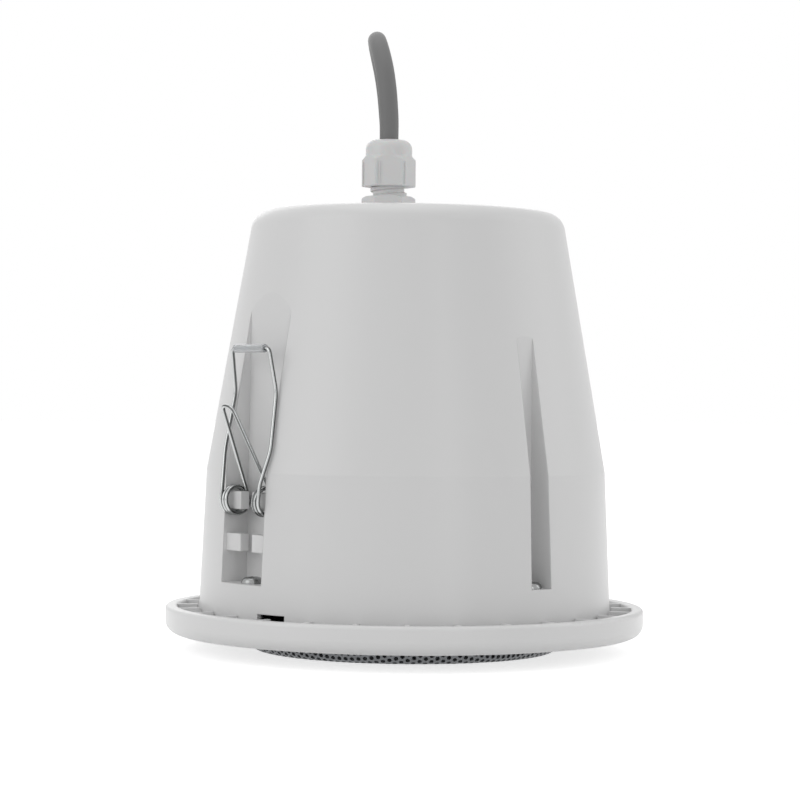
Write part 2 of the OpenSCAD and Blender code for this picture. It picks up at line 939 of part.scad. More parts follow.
module spider() {
    waves = 4;
    step = (spider_in_r - former_r - 2) / (2 * waves);
    start = former_r + 2;
    color("#b58a3c")
        rotate_extrude()
            polygon(concat(
                [[former_r, spider_z - edge_t], [former_r, spider_z]],
                [for (i = [0 : 2 * waves - 1]) [start + i * step, spider_z - (i % 2)]],
                [[spider_in_r, spider_z], [spider_out_r - 0.5, spider_z],
                 [spider_out_r - 0.5, spider_z - edge_t], [spider_in_r, spider_z - edge_t]],
                [for (i = [2 * waves - 1 : -1 : 0])
                    [start + i * step, spider_z - edge_t - (i % 2)]]
            ));
}

module top_plate() {
    color("#9a9c9e")
        rotate_extrude()
            ring_section(bore_r, magnet_d / 2 - 1, basket_back_z, magnet_z);
}

module magnet() {
    color("#3b3c3e")
        rotate_extrude()
            ring_section(bore_r + 3, magnet_d / 2, magnet_z, back_z);
}

module yoke() {
    color("#9a9c9e")
        rotate_extrude() {
            ring_section(0, magnet_d / 2 - 1, back_z, back_z + pole_plate_h);
            ring_section(0, pole_r, basket_back_z, back_z + 1);
        }
}

module tag_strip() {
    color("#7a5a34")
        rotate(45)
            translate([spider_out_r - 3.5, -7, spider_z + basket_sheet])
                cube([4.5, 14, 2]);
}

module transformer_core() {
    window_h = core_h - 2 * yoke_w;
    window_w = (core_w - leg_w - 2 * yoke_w) / 2;
    color("#5b5d60")
        translate([0, -core_offset, core_bottom])
            difference() {
                translate([-core_w / 2, -core_t / 2, 0])
                    cube([core_w, core_t, core_h]);
                for (side = [-1, 1])
                    translate([side * (leg_w + window_w) / 2 - window_w / 2, -core_t, yoke_w])
                        cube([window_w, 2 * core_t, window_h]);
            }
}

module transformer_winding() {
    window_h = core_h - 2 * yoke_w - 0.2;
    wide = core_w - 2 * yoke_w - 0.2;
    color("#c9b458")
        translate([0, -core_offset, core_bottom + yoke_w + 0.1])
            difference() {
                translate([-wide / 2, -coil_t / 2, 0])
                    cube([wide, coil_t, window_h]);
                translate([-leg_w / 2 - 0.1, -core_t / 2 - 0.1, -1])
                    cube([leg_w + 0.2, core_t + 0.2, window_h + 2]);
            }
}

module transformer_bracket() {
    color("#a9abad")
        translate([0, -core_offset, 0])
            difference() {
                union() {
                    translate([-core_w / 2 - ear_t, -core_t / 2 + 2, core_bottom - ear_t])
                        cube([core_w + 2 * ear_t, core_t - 4, core_h + ear_t]);
                    for (side = [-1, 1])
                        translate([side * (core_w / 2 + 6) - 6, -core_t / 2 + 2, core_top])
                            cube([12, core_t - 4, ear_t]);
                }
                translate([-core_w / 2, -core_t, core_bottom])
                    cube([core_w, 2 * core_t, core_h + ear_t + 1]);
                for (side = [-1, 1])
                    translate([side * ear_x, 0, core_top - 1])
                        cylinder(d = 3.6, h = ear_t + 2);
            }
}

module transformer_screws() {
    color("#b8babc")
        for (side = [-1, 1])
            translate([side * ear_x, -core_offset, core_top])
                rotate([180, 0, 0])
                    screw(3, 5.6, 2, ear_t + 7);
}

module terminal_block() {
    color("#e8e4d6")
        difference() {
            translate([-block_l / 2, block_y - block_w / 2, block_top - block_h])
                cube([block_l, block_w, block_h]);
            for (side = [-1, 1])
                translate([side * (block_l / 2 - 5), block_y, block_top - block_h - 1])
                    cylinder(d = 3.6, h = block_h + 2);
            for (i = [-1.5 : 1.5])
                translate([i * 7, block_y, block_top - block_h - 1])
                    cylinder(d = 4, h = 6);
        }
}

module block_screws() {
    color("#b8babc")
        for (side = [-1, 1])
            translate([side * (block_l / 2 - 5), block_y, block_top - block_h])
                rotate([180, 0, 0])
                    screw(3, 5.6, 2, block_h + 2.5);
}

module feed_wires() {
    low = gland_shank_z - 8;
    face = block_y - block_w / 2;
    color("#8a5a3a")
        for (i = [-1.5 : 1.5])
            tube([
                [i * 1.7, gland_offset, low], [i * 1.7, gland_offset, low - 3],
                [i * 3, gland_offset + 4, low - 8], [i * 5, gland_offset + 11, low - 8],
                [i * 7, face - 5, low - 2], [i * 7, face - 2, block_top - block_h + 4.6],
                [i * 7, face, block_top - block_h + 4.6]
            ], 1.5, 8);
}

module speaker_leads() {
    tag = (spider_out_r - 1.2) * cos(45);
    top = core_bottom + yoke_w + 6;
    face = -core_offset + coil_t / 2;
    color("#a33a2c")
        for (side = [-1, 1])
            tube([
                [side * 4, face, top], [side * 4, face + 4, top],
                [10 + side * 3, face + 12, top - 14], [30 + side * 2, 24 - side * 2, back_z + 14],
                [34 + side * 2, 34 - side * 2, back_z - 2],
                [tag + 6 + side * 3, tag + 6 - side * 3, basket_back_z + 4],
                [tag + side * 3, tag - side * 3, spider_z + basket_sheet + 3.6],
                [tag + side * 3, tag - side * 3, spider_z + basket_sheet + 2]
            ], 1.5, 8);
}

housing();
front_ring();
grille();
housing_gasket();
housing_screws();
spring_clip_left();
spring_clip_right();
clip_sleeve_left();
clip_sleeve_right();
gland_body();
gland_nut();
gland_seal();
gland_washer();
gland_locknut();
cable_entry();
cable();
cable_coil();
cable_tie();
cable_end();
driver_gasket();
surround();
basket();
driver_screws();
cone();
dust_cap();
voice_former();
voice_winding();
spider();
top_plate();
magnet();
yoke();
tag_strip();
transformer_core();
transformer_winding();
transformer_bracket();
transformer_screws();
terminal_block();
block_screws();
feed_wires();
speaker_leads();
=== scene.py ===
import math
import bpy
import bmesh
from mathutils import Matrix, Vector


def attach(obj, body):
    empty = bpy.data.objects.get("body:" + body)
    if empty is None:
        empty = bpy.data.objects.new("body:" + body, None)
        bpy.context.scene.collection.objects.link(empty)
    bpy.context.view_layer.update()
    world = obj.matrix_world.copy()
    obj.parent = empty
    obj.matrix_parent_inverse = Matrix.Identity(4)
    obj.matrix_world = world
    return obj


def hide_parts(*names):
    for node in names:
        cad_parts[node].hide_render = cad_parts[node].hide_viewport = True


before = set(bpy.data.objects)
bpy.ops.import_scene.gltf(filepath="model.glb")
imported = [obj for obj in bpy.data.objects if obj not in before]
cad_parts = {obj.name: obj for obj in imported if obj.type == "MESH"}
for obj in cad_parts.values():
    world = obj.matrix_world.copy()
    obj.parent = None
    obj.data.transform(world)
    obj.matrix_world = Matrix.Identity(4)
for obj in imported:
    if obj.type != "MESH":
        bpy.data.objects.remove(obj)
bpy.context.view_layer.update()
print("packed frame loaded")


# camera, where the photograph was taken from
camera = {
    "distance": 1.05,       # from the housing's axis
    "height": 0.108,
    "turn": -39.3,          # degrees round the object
    "roll": -0.6,
    "lens": 112.4,
    "shift": (-6.6 / 800, -8.5 / 800),
}


def placeCamera(s):
    data = bpy.data.cameras.new("photoCamera")
    data.lens = s["lens"]
    data.sensor_width = 36
    data.shift_x, data.shift_y = s["shift"]
    data.clip_start = 0.02
    obj = bpy.data.objects.new("photoCamera", data)
    bpy.context.scene.collection.objects.link(obj)
    turn = math.radians(s["turn"])
    obj.location = (math.sin(turn) * s["distance"], -math.cos(turn) * s["distance"], s["height"])
    obj.rotation_euler = (math.radians(90), math.radians(s["roll"]), turn)
    bpy.context.scene.camera = obj


placeCamera(camera)


# meshes

def newPiece(name, mesh, material=None, smooth=True):
    obj = bpy.data.objects.new(name, mesh)
    bpy.context.scene.collection.objects.link(obj)
    if material is not None:
        mesh.materials.clear()
        mesh.materials.append(material)
    if smooth:
        for face in mesh.polygons:
            face.use_smooth = True
    return obj


def meshFrom(name, points, faces):
    mesh = bpy.data.meshes.new(name)
    mesh.from_pydata([tuple(p) for p in points], [], faces)
    mesh.update()
    return mesh


def smoothByAngle(mesh, degrees=32):
    mesh.set_sharp_from_angle(angle=math.radians(degrees))


def curveThrough(points, steps):
    pts = [Vector(p) for p in points]
    ends = [2 * pts[0] - pts[1]] + pts + [2 * pts[-1] - pts[-2]]
    out = []
    for i in range(1, len(ends) - 2):
        a, b, c, d = ends[i - 1:i + 3]
        for k in range(steps):
            t = k / steps
            out.append(0.5 * (2 * b + (c - a) * t + (2 * a - 5 * b + 4 * c - d) * t * t
                              + (3 * b - a - 3 * c + d) * t ** 3))
    return out + [pts[-1]]


def sweepTube(name, path, radius, sides=16, uvScale=0.01):
    path = [Vector(p) for p in path]
    last = len(path) - 1
    ahead = [(path[min(i + 1, last)] - path[max(i - 1, 0)]).normalized() for i in range(last + 1)]
    side = ahead[0].orthogonal().normalized()
    points, faces, along = [], [], [0.0]
    for i, p in enumerate(path):
        side = (side - ahead[i] * side.dot(ahead[i])).normalized()
        up = ahead[i].cross(side)
        for k in range(sides):
            a = 2 * math.pi * k / sides
            points.append(p + radius * (math.cos(a) * side + math.sin(a) * up))
        if i:
            along.append(along[-1] + (p - path[i - 1]).length)
    for i in range(last):
        for k in range(sides):
            a, b = i * sides + k, i * sides + (k + 1) % sides
            faces.append((a, b, b + sides, a + sides))
    faces.append(tuple(range(sides - 1, -1, -1)))
    faces.append(tuple(last * sides + k for k in range(sides)))
    mesh = meshFrom(name, points, faces)
    layer = mesh.uv_layers.new(name="along")
    for face in mesh.polygons:
        ring = [mesh.loops[li].vertex_index for li in face.loop_indices]
        wraps = max(v % sides for v in ring) == sides - 1 and min(v % sides for v in ring) == 0
        for li, v in zip(face.loop_indices, ring):
            u = v % sides
            if wraps and u == 0:
                u = sides
            layer.data[li].uv = (u / sides, along[v // sides] / uvScale)
    return mesh


def turnedMesh(name, profile, steps=96):
    points, faces = [], []
    n = len(profile)
    for k in range(steps):
        a = 2 * math.pi * k / steps
        for r, z in profile:
            points.append((r * math.cos(a), r * math.sin(a), z))
    for k in range(steps):
        for i in range(n):
            j = (i + 1) % n
            a, b = k * n, (k + 1) % steps * n
            faces.append((a + i, b + i, b + j, a + j))
    return cleaned(meshFrom(name, points, faces))


def cleaned(mesh):
    nearest = 1e-6          # metres; closer points are one
    bm = bmesh.new()
    bm.from_mesh(mesh)
    bmesh.ops.remove_doubles(bm, verts=bm.verts, dist=nearest)
    bmesh.ops.dissolve_degenerate(bm, edges=bm.edges, dist=nearest)
    bmesh.ops.recalc_face_normals(bm, faces=bm.faces)
    bm.to_mesh(mesh)
    bm.free()
    return mesh


# node trees

def addNode(tree, kind, inputs=None, **props):
    node = tree.nodes.new(kind)
    for key, value in props.items():
        setattr(node, key, value)
    for key, value in (inputs or {}).items():
        socket = node.inputs[key]
        if isinstance(value, bpy.types.NodeSocket):
            tree.links.new(value, socket)
        else:
            socket.default_value = value
    return node


def maths(tree, operation, a, b=None):
    inputs = {0: a} if b is None else {0: a, 1: b}
    return addNode(tree, "ShaderNodeMath", inputs, operation=operation).outputs[0]


def mixColours(tree, share, first, second):
    # a Mix node's colour sockets come after its number and vector sockets
    return addNode(tree, "ShaderNodeMix", {0: share, 6: first, 7: second},
                   data_type="RGBA").outputs[2]


def linear(hexColour):
    out = []
    for i in (1, 3, 5):
        c = int(hexColour[i:i + 2], 16) / 255
        out.append(c / 12.92 if c <= 0.04045 else ((c + 0.055) / 1.055) ** 2.4)
    return (*out, 1.0)


def stretched(tree, scale, useUv=False):
    place = addNode(tree, "ShaderNodeTexCoord").outputs["UV" if useUv else "Object"]
    return addNode(tree, "ShaderNodeMapping", {"Vector": place, "Scale": scale}).outputs[0]


def heightPattern(tree, look):
    kind = look.get("pattern", "grain")
    size = look.get("grain", 0.0006)
    if kind == "grain":
        where = stretched(tree, (1 / size,) * 3)
        return addNode(tree, "ShaderNodeTexNoise",
                       {"Vector": where, "Scale": 1.0, "Detail": 3.0, "Roughness": 0.55}).outputs[0]
    if kind == "drawn":      # broad bands, whose low places take the spring wire's painted dark reflection stripes, and fine die lines along the drawn wire
        broad = addNode(tree, "ShaderNodeTexWave",
                        {"Vector": stretched(tree, (1, 1, 1), useUv=True),
                         "Scale": 0.3 * math.pi, "Distortion": 0.0},
                        wave_type="BANDS", bands_direction="X").outputs[1]
        fine = addNode(tree, "ShaderNodeTexNoise",
                       {"Vector": stretched(tree, (26.0, 0.35, 1.0), useUv=True), "Scale": 1.0,
                        "Detail": 4.0, "Roughness": 0.6}).outputs[0]
        return maths(tree, "ADD", broad, maths(tree, "MULTIPLY", fine, 0.5))
    if kind == "turned":     # rings of a turned or pressed face
        where = stretched(tree, (1, 1, 1))
        return addNode(tree, "ShaderNodeTexWave",
                       {"Vector": where, "Scale": 1 / size, "Distortion": 1.5, "Detail": 2.0,
                        "Detail Scale": 3.0},
                       wave_type="RINGS", rings_direction="Z").outputs[1]
    if kind == "layers":     # edges of stacked sheets
        axis = look.get("axis", "Y")
        where = stretched(tree, (1, 1, 1))
        return addNode(tree, "ShaderNodeTexWave",
                       {"Vector": where, "Scale": 0.32 / size, "Distortion": 0.35},
                       wave_type="BANDS", bands_direction=axis).outputs[1]
    if kind == "weave":      # two crossing sets of threads
        waves = [addNode(tree, "ShaderNodeTexWave",
                         {"Vector": stretched(tree, (1, 1, 1)), "Scale": 0.32 / size,
                          "Distortion": 0.4},
                         wave_type="BANDS", bands_direction=axis).outputs[1] for axis in "XY"]
        return maths(tree, "MAXIMUM", *waves)
    if kind == "fibres":     # pressed pulp with short fibres
        where = stretched(tree, (1 / size, 0.35 / size, 1 / size))
        return addNode(tree, "ShaderNodeTexVoronoi",
                       {"Vector": where, "Scale": 1.0, "Randomness": 1.0},
                       feature="F1").outputs[0]
    raise ValueError(kind)


def makeFinish(name, look):
    mat = bpy.data.materials.new(name)
    mat.use_nodes = True
    tree = mat.node_tree
    tree.nodes.clear()
    base = linear(look["colour"])
    spread = look.get("spread", 0.03)
    height = heightPattern(tree, look)
    patches = addNode(tree, "ShaderNodeTexNoise",
                      {"Vector": stretched(tree, (1 / look.get("patch", 0.04),) * 3),
                       "Scale": 1.0, "Detail": 4.0, "Roughness": 0.6}).outputs[0]
    tones = [tuple(min(1, b * c) for b in base[:3]) + (1,) for c in (1 - spread, 1 + spread)]
    colour = mixColours(tree, patches, *tones)
    if "fleckAndPaintedReflection" in look:      # the pattern's low places take a second colour: the material's own fleck on paper, cloth and core steel, and painted dark reflection stripes on the spring wire
        fleckAndPaintedReflection, low, high = look["fleckAndPaintedReflection"]
        share = addNode(tree, "ShaderNodeMapRange",
                        {"Value": height, "From Min": low, "From Max": high,
                         "To Min": 1.0, "To Max": 0.0}).outputs[0]
        colour = mixColours(tree, share, colour, linear(fleckAndPaintedReflection))
    rough = addNode(tree, "ShaderNodeMapRange",
                    {"Value": patches, "From Min": 0.3, "From Max": 0.7,
                     "To Min": look["rough"][0], "To Max": look["rough"][1]}).outputs[0]
    shader = addNode(tree, "ShaderNodeBsdfPrincipled",
                     {"Base Color": colour, "Roughness": rough,
                      "Metallic": look.get("metal", 0.0), "IOR": look.get("ior", 1.5)})
    for socket, value in look.get("sockets", {}).items():
        shader.inputs[socket].default_value = value
    bump = addNode(tree, "ShaderNodeBump",
                   {"Height": height, "Strength": look.get("strength", 0.5),
                    "Distance": look.get("relief", 0.00003)})
    if look.get("edge"):     # soft edges of a moulding or a pressing
        rounding = addNode(tree, "ShaderNodeBevel", {"Radius": look["edge"]}, samples=6)
        tree.links.new(rounding.outputs[0], bump.inputs["Normal"])
    tree.links.new(bump.outputs[0], shader.inputs["Normal"])
    end = addNode(tree, "ShaderNodeOutputMaterial")
    tree.links.new(shader.outputs[0], end.inputs[0])
    return mat


finishes = {
    "housingPlastic": {"colour": "#dddddd", "rough": (0.30, 0.38), "grain": 0.0007,
                       "relief": 0.00002, "strength": 0.35, "edge": 0.0007, "spread": 0.012},
    "ringPlastic": {"colour": "#e2e2e2", "rough": (0.28, 0.36), "grain": 0.0007,
                    "relief": 0.00002, "strength": 0.35, "edge": 0.0006, "spread": 0.012},
    "grilleCoat": {"colour": "#8e9093", "rough": (0.30, 0.42), "metal": 0.55, "grain": 0.0004,
                   "relief": 0.00002, "spread": 0.05},
    "softRubber": {"colour": "#2a2b2c", "rough": (0.65, 0.85), "grain": 0.0004,
                   "relief": 0.00003, "spread": 0.1},
    "platedScrew": {"colour": "#979898", "rough": (0.18, 0.30), "metal": 1.0, "grain": 0.0003,
                    "relief": 0.00001, "edge": 0.0002, "spread": 0.05},
    # the near-black second colour paints dark reflection stripes along the wire
    "springWire": {"colour": "#b9bbbb", "rough": (0.10, 0.18), "metal": 1.0, "pattern": "drawn",
                   "fleckAndPaintedReflection": ("#262727", 0.15, 1.0),
                   "relief": 0.000015, "patch": 0.006, "spread": 0.06},
    "clearSleeve": {"colour": "#dcdee0", "rough": (0.10, 0.16), "grain": 0.0008,
                    "relief": 0.00002, "spread": 0.03, "ior": 1.52,
                    "sockets": {"Transmission Weight": 0.6}},
    "glandNylon": {"colour": "#d6d6d6", "rough": (0.34, 0.44), "grain": 0.0005,
                   "relief": 0.00002, "strength": 0.4, "spread": 0.015,
                   "sockets": {"Subsurface Weight": 0.12, "Subsurface Scale": 0.002}},
    "cableJacket": {"colour": "#727272", "rough": (0.50, 0.62), "grain": 0.0006,
                    "relief": 0.00004, "spread": 0.04},
    "tieNylon": {"colour": "#dfe0de", "rough": (0.36, 0.46), "grain": 0.0004,
                 "relief": 0.00002, "spread": 0.02},
    "drawnCopper": {"colour": "#b86a42", "rough": (0.25, 0.40), "metal": 1.0, "grain": 0.0003,
                    "relief": 0.00002, "patch": 0.003, "spread": 0.12},
    "blackFoam": {"colour": "#1f2021", "rough": (0.85, 0.95), "grain": 0.0005,
                  "relief": 0.00015, "spread": 0.2},
    "paintedSteel": {"colour": "#2c2e30", "rough": (0.38, 0.52), "grain": 0.0005,
                     "relief": 0.00003, "edge": 0.0004, "spread": 0.06},
    "conePaper": {"colour": "#26272a", "rough": (0.75, 0.9), "pattern": "fibres", "grain": 0.0009,
                  "relief": 0.00008, "spread": 0.15, "fleckAndPaintedReflection": ("#3d3e42", 0.0, 0.35)},
    "formerFilm": {"colour": "#c59b5c", "rough": (0.28, 0.36), "grain": 0.0006,
                   "relief": 0.00001, "spread": 0.06},
    "spiderCloth": {"colour": "#b08538", "rough": (0.8, 0.92), "pattern": "weave",
                    "grain": 0.0005, "relief": 0.00012, "spread": 0.08,
                    "fleckAndPaintedReflection": ("#6f4f1c", 0.35, 0.7)},
    "platedSteel": {"colour": "#b3b2a8", "rough": (0.28, 0.42), "metal": 1.0, "pattern": "turned",
                    "grain": 0.004, "relief": 0.00001, "edge": 0.0004, "spread": 0.08},
    "ferrite": {"colour": "#34363a", "rough": (0.55, 0.75), "metal": 0.2, "grain": 0.0007,
                "relief": 0.00006, "edge": 0.0005, "spread": 0.18},
    "brownBoard": {"colour": "#765530", "rough": (0.6, 0.72), "grain": 0.0009,
                   "relief": 0.00003, "spread": 0.12},
    "coreSteel": {"colour": "#5c5e62", "rough": (0.36, 0.5), "metal": 0.85, "pattern": "layers",
                  "axis": "Y", "grain": 0.0005, "relief": 0.00008, "spread": 0.08,
                  "fleckAndPaintedReflection": ("#2b2c2e", 0.1, 0.4)},
    "windingTape": {"colour": "#c6ad4a", "rough": (0.22, 0.3), "pattern": "layers", "axis": "Z",
                    "grain": 0.006, "relief": 0.00006, "spread": 0.05},
    "blockPlastic": {"colour": "#e4dfcf", "rough": (0.4, 0.5), "grain": 0.0006,
                     "relief": 0.00002, "edge": 0.0004, "spread": 0.02},
    "wireInsulation": {"colour": "#8c3a2f", "rough": (0.4, 0.5), "grain": 0.0005,
                       "relief": 0.00003, "spread": 0.06},
    "feedInsulation": {"colour": "#4f5f8c", "rough": (0.4, 0.5), "grain": 0.0005,
                       "relief": 0.00003, "spread": 0.06},
}
finish = {name: makeFinish(name, look) for name, look in finishes.items()}

nodeFinish = {
    "housing": "housingPlastic", "front_ring": "ringPlastic", "housing_gasket": "softRubber",
    "gland_seal": "softRubber", "gland_washer": "softRubber", "gland_locknut": "glandNylon",
    "cable_entry": "cableJacket", "driver_gasket": "blackFoam", "basket": "paintedSteel",
    "driver_screws": "platedScrew", "cone": "conePaper", "dust_cap": "conePaper",
    "voice_former": "formerFilm", "voice_winding": "drawnCopper", "top_plate": "platedSteel",
    "magnet": "ferrite", "yoke": "platedSteel", "tag_strip": "brownBoard",
    "transformer_core": "coreSteel", "transformer_winding": "windingTape",
    "transformer_bracket": "platedSteel",
    "transformer_screws": "platedScrew", "terminal_block": "blockPlastic",
    "block_screws": "platedScrew", "feed_wires": "feedInsulation",
    "speaker_leads": "wireInsulation",
}
for nodeName, finishName in nodeFinish.items():
    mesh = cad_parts[nodeName].data
    mesh.materials.clear()
    mesh.materials.append(finish[finishName])
print("finishes made:", len(finish))


# cable, from the gland's nut over the back to a coil on the floor
cable = {
    "diameter": 0.008,
    "exit": (0.0, 0.0135, 0.2146),
    "route": [   # mm, heights from the gland's top
        (0, 13.5, 0), (0, 13.5, 8), (0, 14, 13.9), (0.3, 15.4, 21.7), (1.6, 19, 30.6),
        (4.3, 24.8, 38), (8.4, 31.9, 43.3), (12.6, 38, 45.8), (18.6, 45.7, 46.9),
        (24.9, 53, 45.4), (31.3, 59.3, 41.5), (37.1, 64.2, 35.4), (41.4, 67.5, 27.4),
        (44, 69.3, 18.1), (45, 69.9, 10.2), (45.8, 71.5, -11.7), (45.4, 74.3, -33.5),
        (44.4, 78.5, -55), (43.1, 83.6, -76.4), (41.3, 89.3, -97.5), (39.1, 95.3, -118.6),
        (36.4, 101.3, -139.6), (33.5, 106.9, -160.6), (32.1, 113.7, -183.1),
        (33.2, 117.6, -191.7), (35.6, 122.6, -198.9), (39.4, 128.8, -204.3),
        (44.4, 135.8, -207.8), (50.1, 143.2, -209.6),
    ],
    "coilCentre": (104, 128),
    "coilStart": 140.7,     # degrees
    "coilRadius": 52.3,
    "coilHeight": 4.0,      # the cable's radius
    "rowStep": 8.3,
    "turns": 1.7,
    "turnPoints": 24,
    "sides": 24,
}


def cableRoute(s):
    points = [Vector((x, y, z + s["exit"][2] * 1000)) / 1000 for x, y, z in s["route"]]
    count = round(s["turns"] * s["turnPoints"])
    for i in range(count + 1):
        t = s["turns"] * i / count
        a = math.radians(s["coilStart"] - 360 * t)
        r = s["coilRadius"] - s["rowStep"] * t
        points.append(Vector((s["coilCentre"][0] + r * math.cos(a),
                              s["coilCentre"][1] + r * math.sin(a), s["coilHeight"])) / 1000)
    return points


route = cableRoute(cable)
cablePath = curveThrough(route, 3)
cableMesh = sweepTube("cable_lead", cablePath, cable["diameter"] / 2, cable["sides"])
cableTube = newPiece("cable_lead", cableMesh, finish["cableJacket"])
smoothByAngle(cableTube.data, 50)

# stripped cores at the cable's far end, lying inside the coil
cores = {
    "route": [(90.1, 92.4, 4.0), (87.6, 93.9, 3.9), (86.1, 97.2, 3.4), (85.7, 102.0, 2.7),
              (85.2, 107.5, 2.1), (84.7, 113.0, 1.6), (84.4, 118.5, 1.3), (84.2, 124.0, 1.2)],
    "coreDiameter": 1.9,
    "copperDiameter": 1.1,
    "spacing": 2.2,
    "startSpread": 0.55,
    "bareShare": 0.32,
}


def makeCores(s):
    line = curveThrough([Vector(p) / 1000 for p in s["route"]], 4)
    parts = []
    for number, sign in enumerate((-1, 1)):
        path = []
        for i, p in enumerate(line):
            q = line[min(i + 1, len(line) - 1)] - line[max(i - 1, 0)]
            across = Vector((-q.y, q.x, 0)).normalized()
            spread = min(1.0, s["startSpread"] + i / len(line))
            path.append(p + across * sign * spread * s["spacing"] / 2000)
        cut = round(len(path) * (1 - s["bareShare"])) - number
        skin = sweepTube("core", path[:cut + 1], s["coreDiameter"] / 2000, 12)
        wire = sweepTube("bare", path[cut:], s["copperDiameter"] / 2000, 10, 0.002)
        parts.append((skin, "wireInsulation" if number else "feedInsulation"))
        parts.append((wire, "drawnCopper"))
    return parts


def joinMeshes(name, parts):
    bm = bmesh.new()
    names = []
    for mesh, finishName in parts:
        if finishName not in names:
            names.append(finishName)
        before = len(bm.faces)
        bm.from_mesh(mesh)
        bm.faces.ensure_lookup_table()
        for face in bm.faces[before:]:
            face.material_index = names.index(finishName)
    out = bpy.data.meshes.new(name)
    bm.to_mesh(out)
    bm.free()
    for finishName in names:
        out.materials.append(finish[finishName])
    return out


coreEnds = newPiece("cable_cores", joinMeshes("cable_cores", makeCores(cores)))


# geometry nodes

def geometryTree(name, inputs):
    tree = bpy.data.node_groups.new(name, "GeometryNodeTree")
    tree.interface.new_socket("Geometry", in_out="INPUT", socket_type="NodeSocketGeometry")
    for label, value in inputs.items():
        kind = ("NodeSocketObject" if isinstance(value, bpy.types.Object) else
                "NodeSocketMaterial" if isinstance(value, bpy.types.Material) else
                "NodeSocketInt" if isinstance(value, int) else "NodeSocketFloat")
        tree.interface.new_socket(label, in_out="INPUT", socket_type=kind)
    tree.interface.new_socket("Geometry", in_out="OUTPUT", socket_type="NodeSocketGeometry")
    start = tree.nodes.new("NodeGroupInput")
    return tree, start.outputs


def finishTree(tree, geometry, material):
    real = addNode(tree, "GeometryNodeRealizeInstances", {0: geometry})
    coat = addNode(tree, "GeometryNodeSetMaterial", {"Geometry": real.outputs[0],
                                                     "Material": material})
    end = tree.nodes.new("NodeGroupOutput")
    tree.links.new(coat.outputs[0], end.inputs[0])


def bakeTree(name, tree, inputs):
    carrier = bpy.data.objects.new(name + "Carrier", bpy.data.meshes.new(name + "Carrier"))
    bpy.context.scene.collection.objects.link(carrier)
    modifier = carrier.modifiers.new("nodes", "NODES")
    modifier.node_group = tree
    for item in tree.interface.items_tree:
        if item.in_out == "INPUT" and item.name in inputs:
            modifier[item.identifier] = inputs[item.name]
    bpy.context.view_layer.update()
    evaluated = carrier.evaluated_get(bpy.context.evaluated_depsgraph_get())
    mesh = bpy.data.meshes.new_from_object(evaluated)
    carrier.modifiers.remove(modifier)
    bpy.data.objects.remove(carrier)
    return mesh


# grille, a punched sheet drawn up at its edge
grille = {
    "Pitch": 0.00275,
    "Hole": 0.00185,
    "Sheet": 0.001,
    "Bend Start": 0.061,
    "Bend Radius": 0.004,
    "Reach": 0.0703,
    "Rows": 60,
}
grilleHem = {"start": 0.0072, "end": 0.009}


def grilleCell(s):
    pitch, hole, sheet = s["Pitch"], s["Hole"] / 2, s["Sheet"]
    corner = pitch / math.sqrt(3)
    outer, inner = [], []
    for k in range(12):
        a = math.radians(30 * k + 30)
        reach = corner if k % 2 == 0 else pitch / 2
        outer.append((reach * math.cos(a), reach * math.sin(a)))
        inner.append((hole * math.cos(a), hole * math.sin(a)))
    points = [(x, y, z) for z in (0, sheet) for ring in (outer, inner) for x, y in ring]
    faces = []
    for k in range(12):
        j = (k + 1) % 12
        faces.append((j, k, 12 + k, 12 + j))
        faces.append((24 + k, 24 + j, 36 + j, 36 + k))
        faces.append((12 + k, 36 + k, 36 + j, 12 + j))
    return newPiece("grilleCell", meshFrom("grilleCell", points, faces), smooth=False)


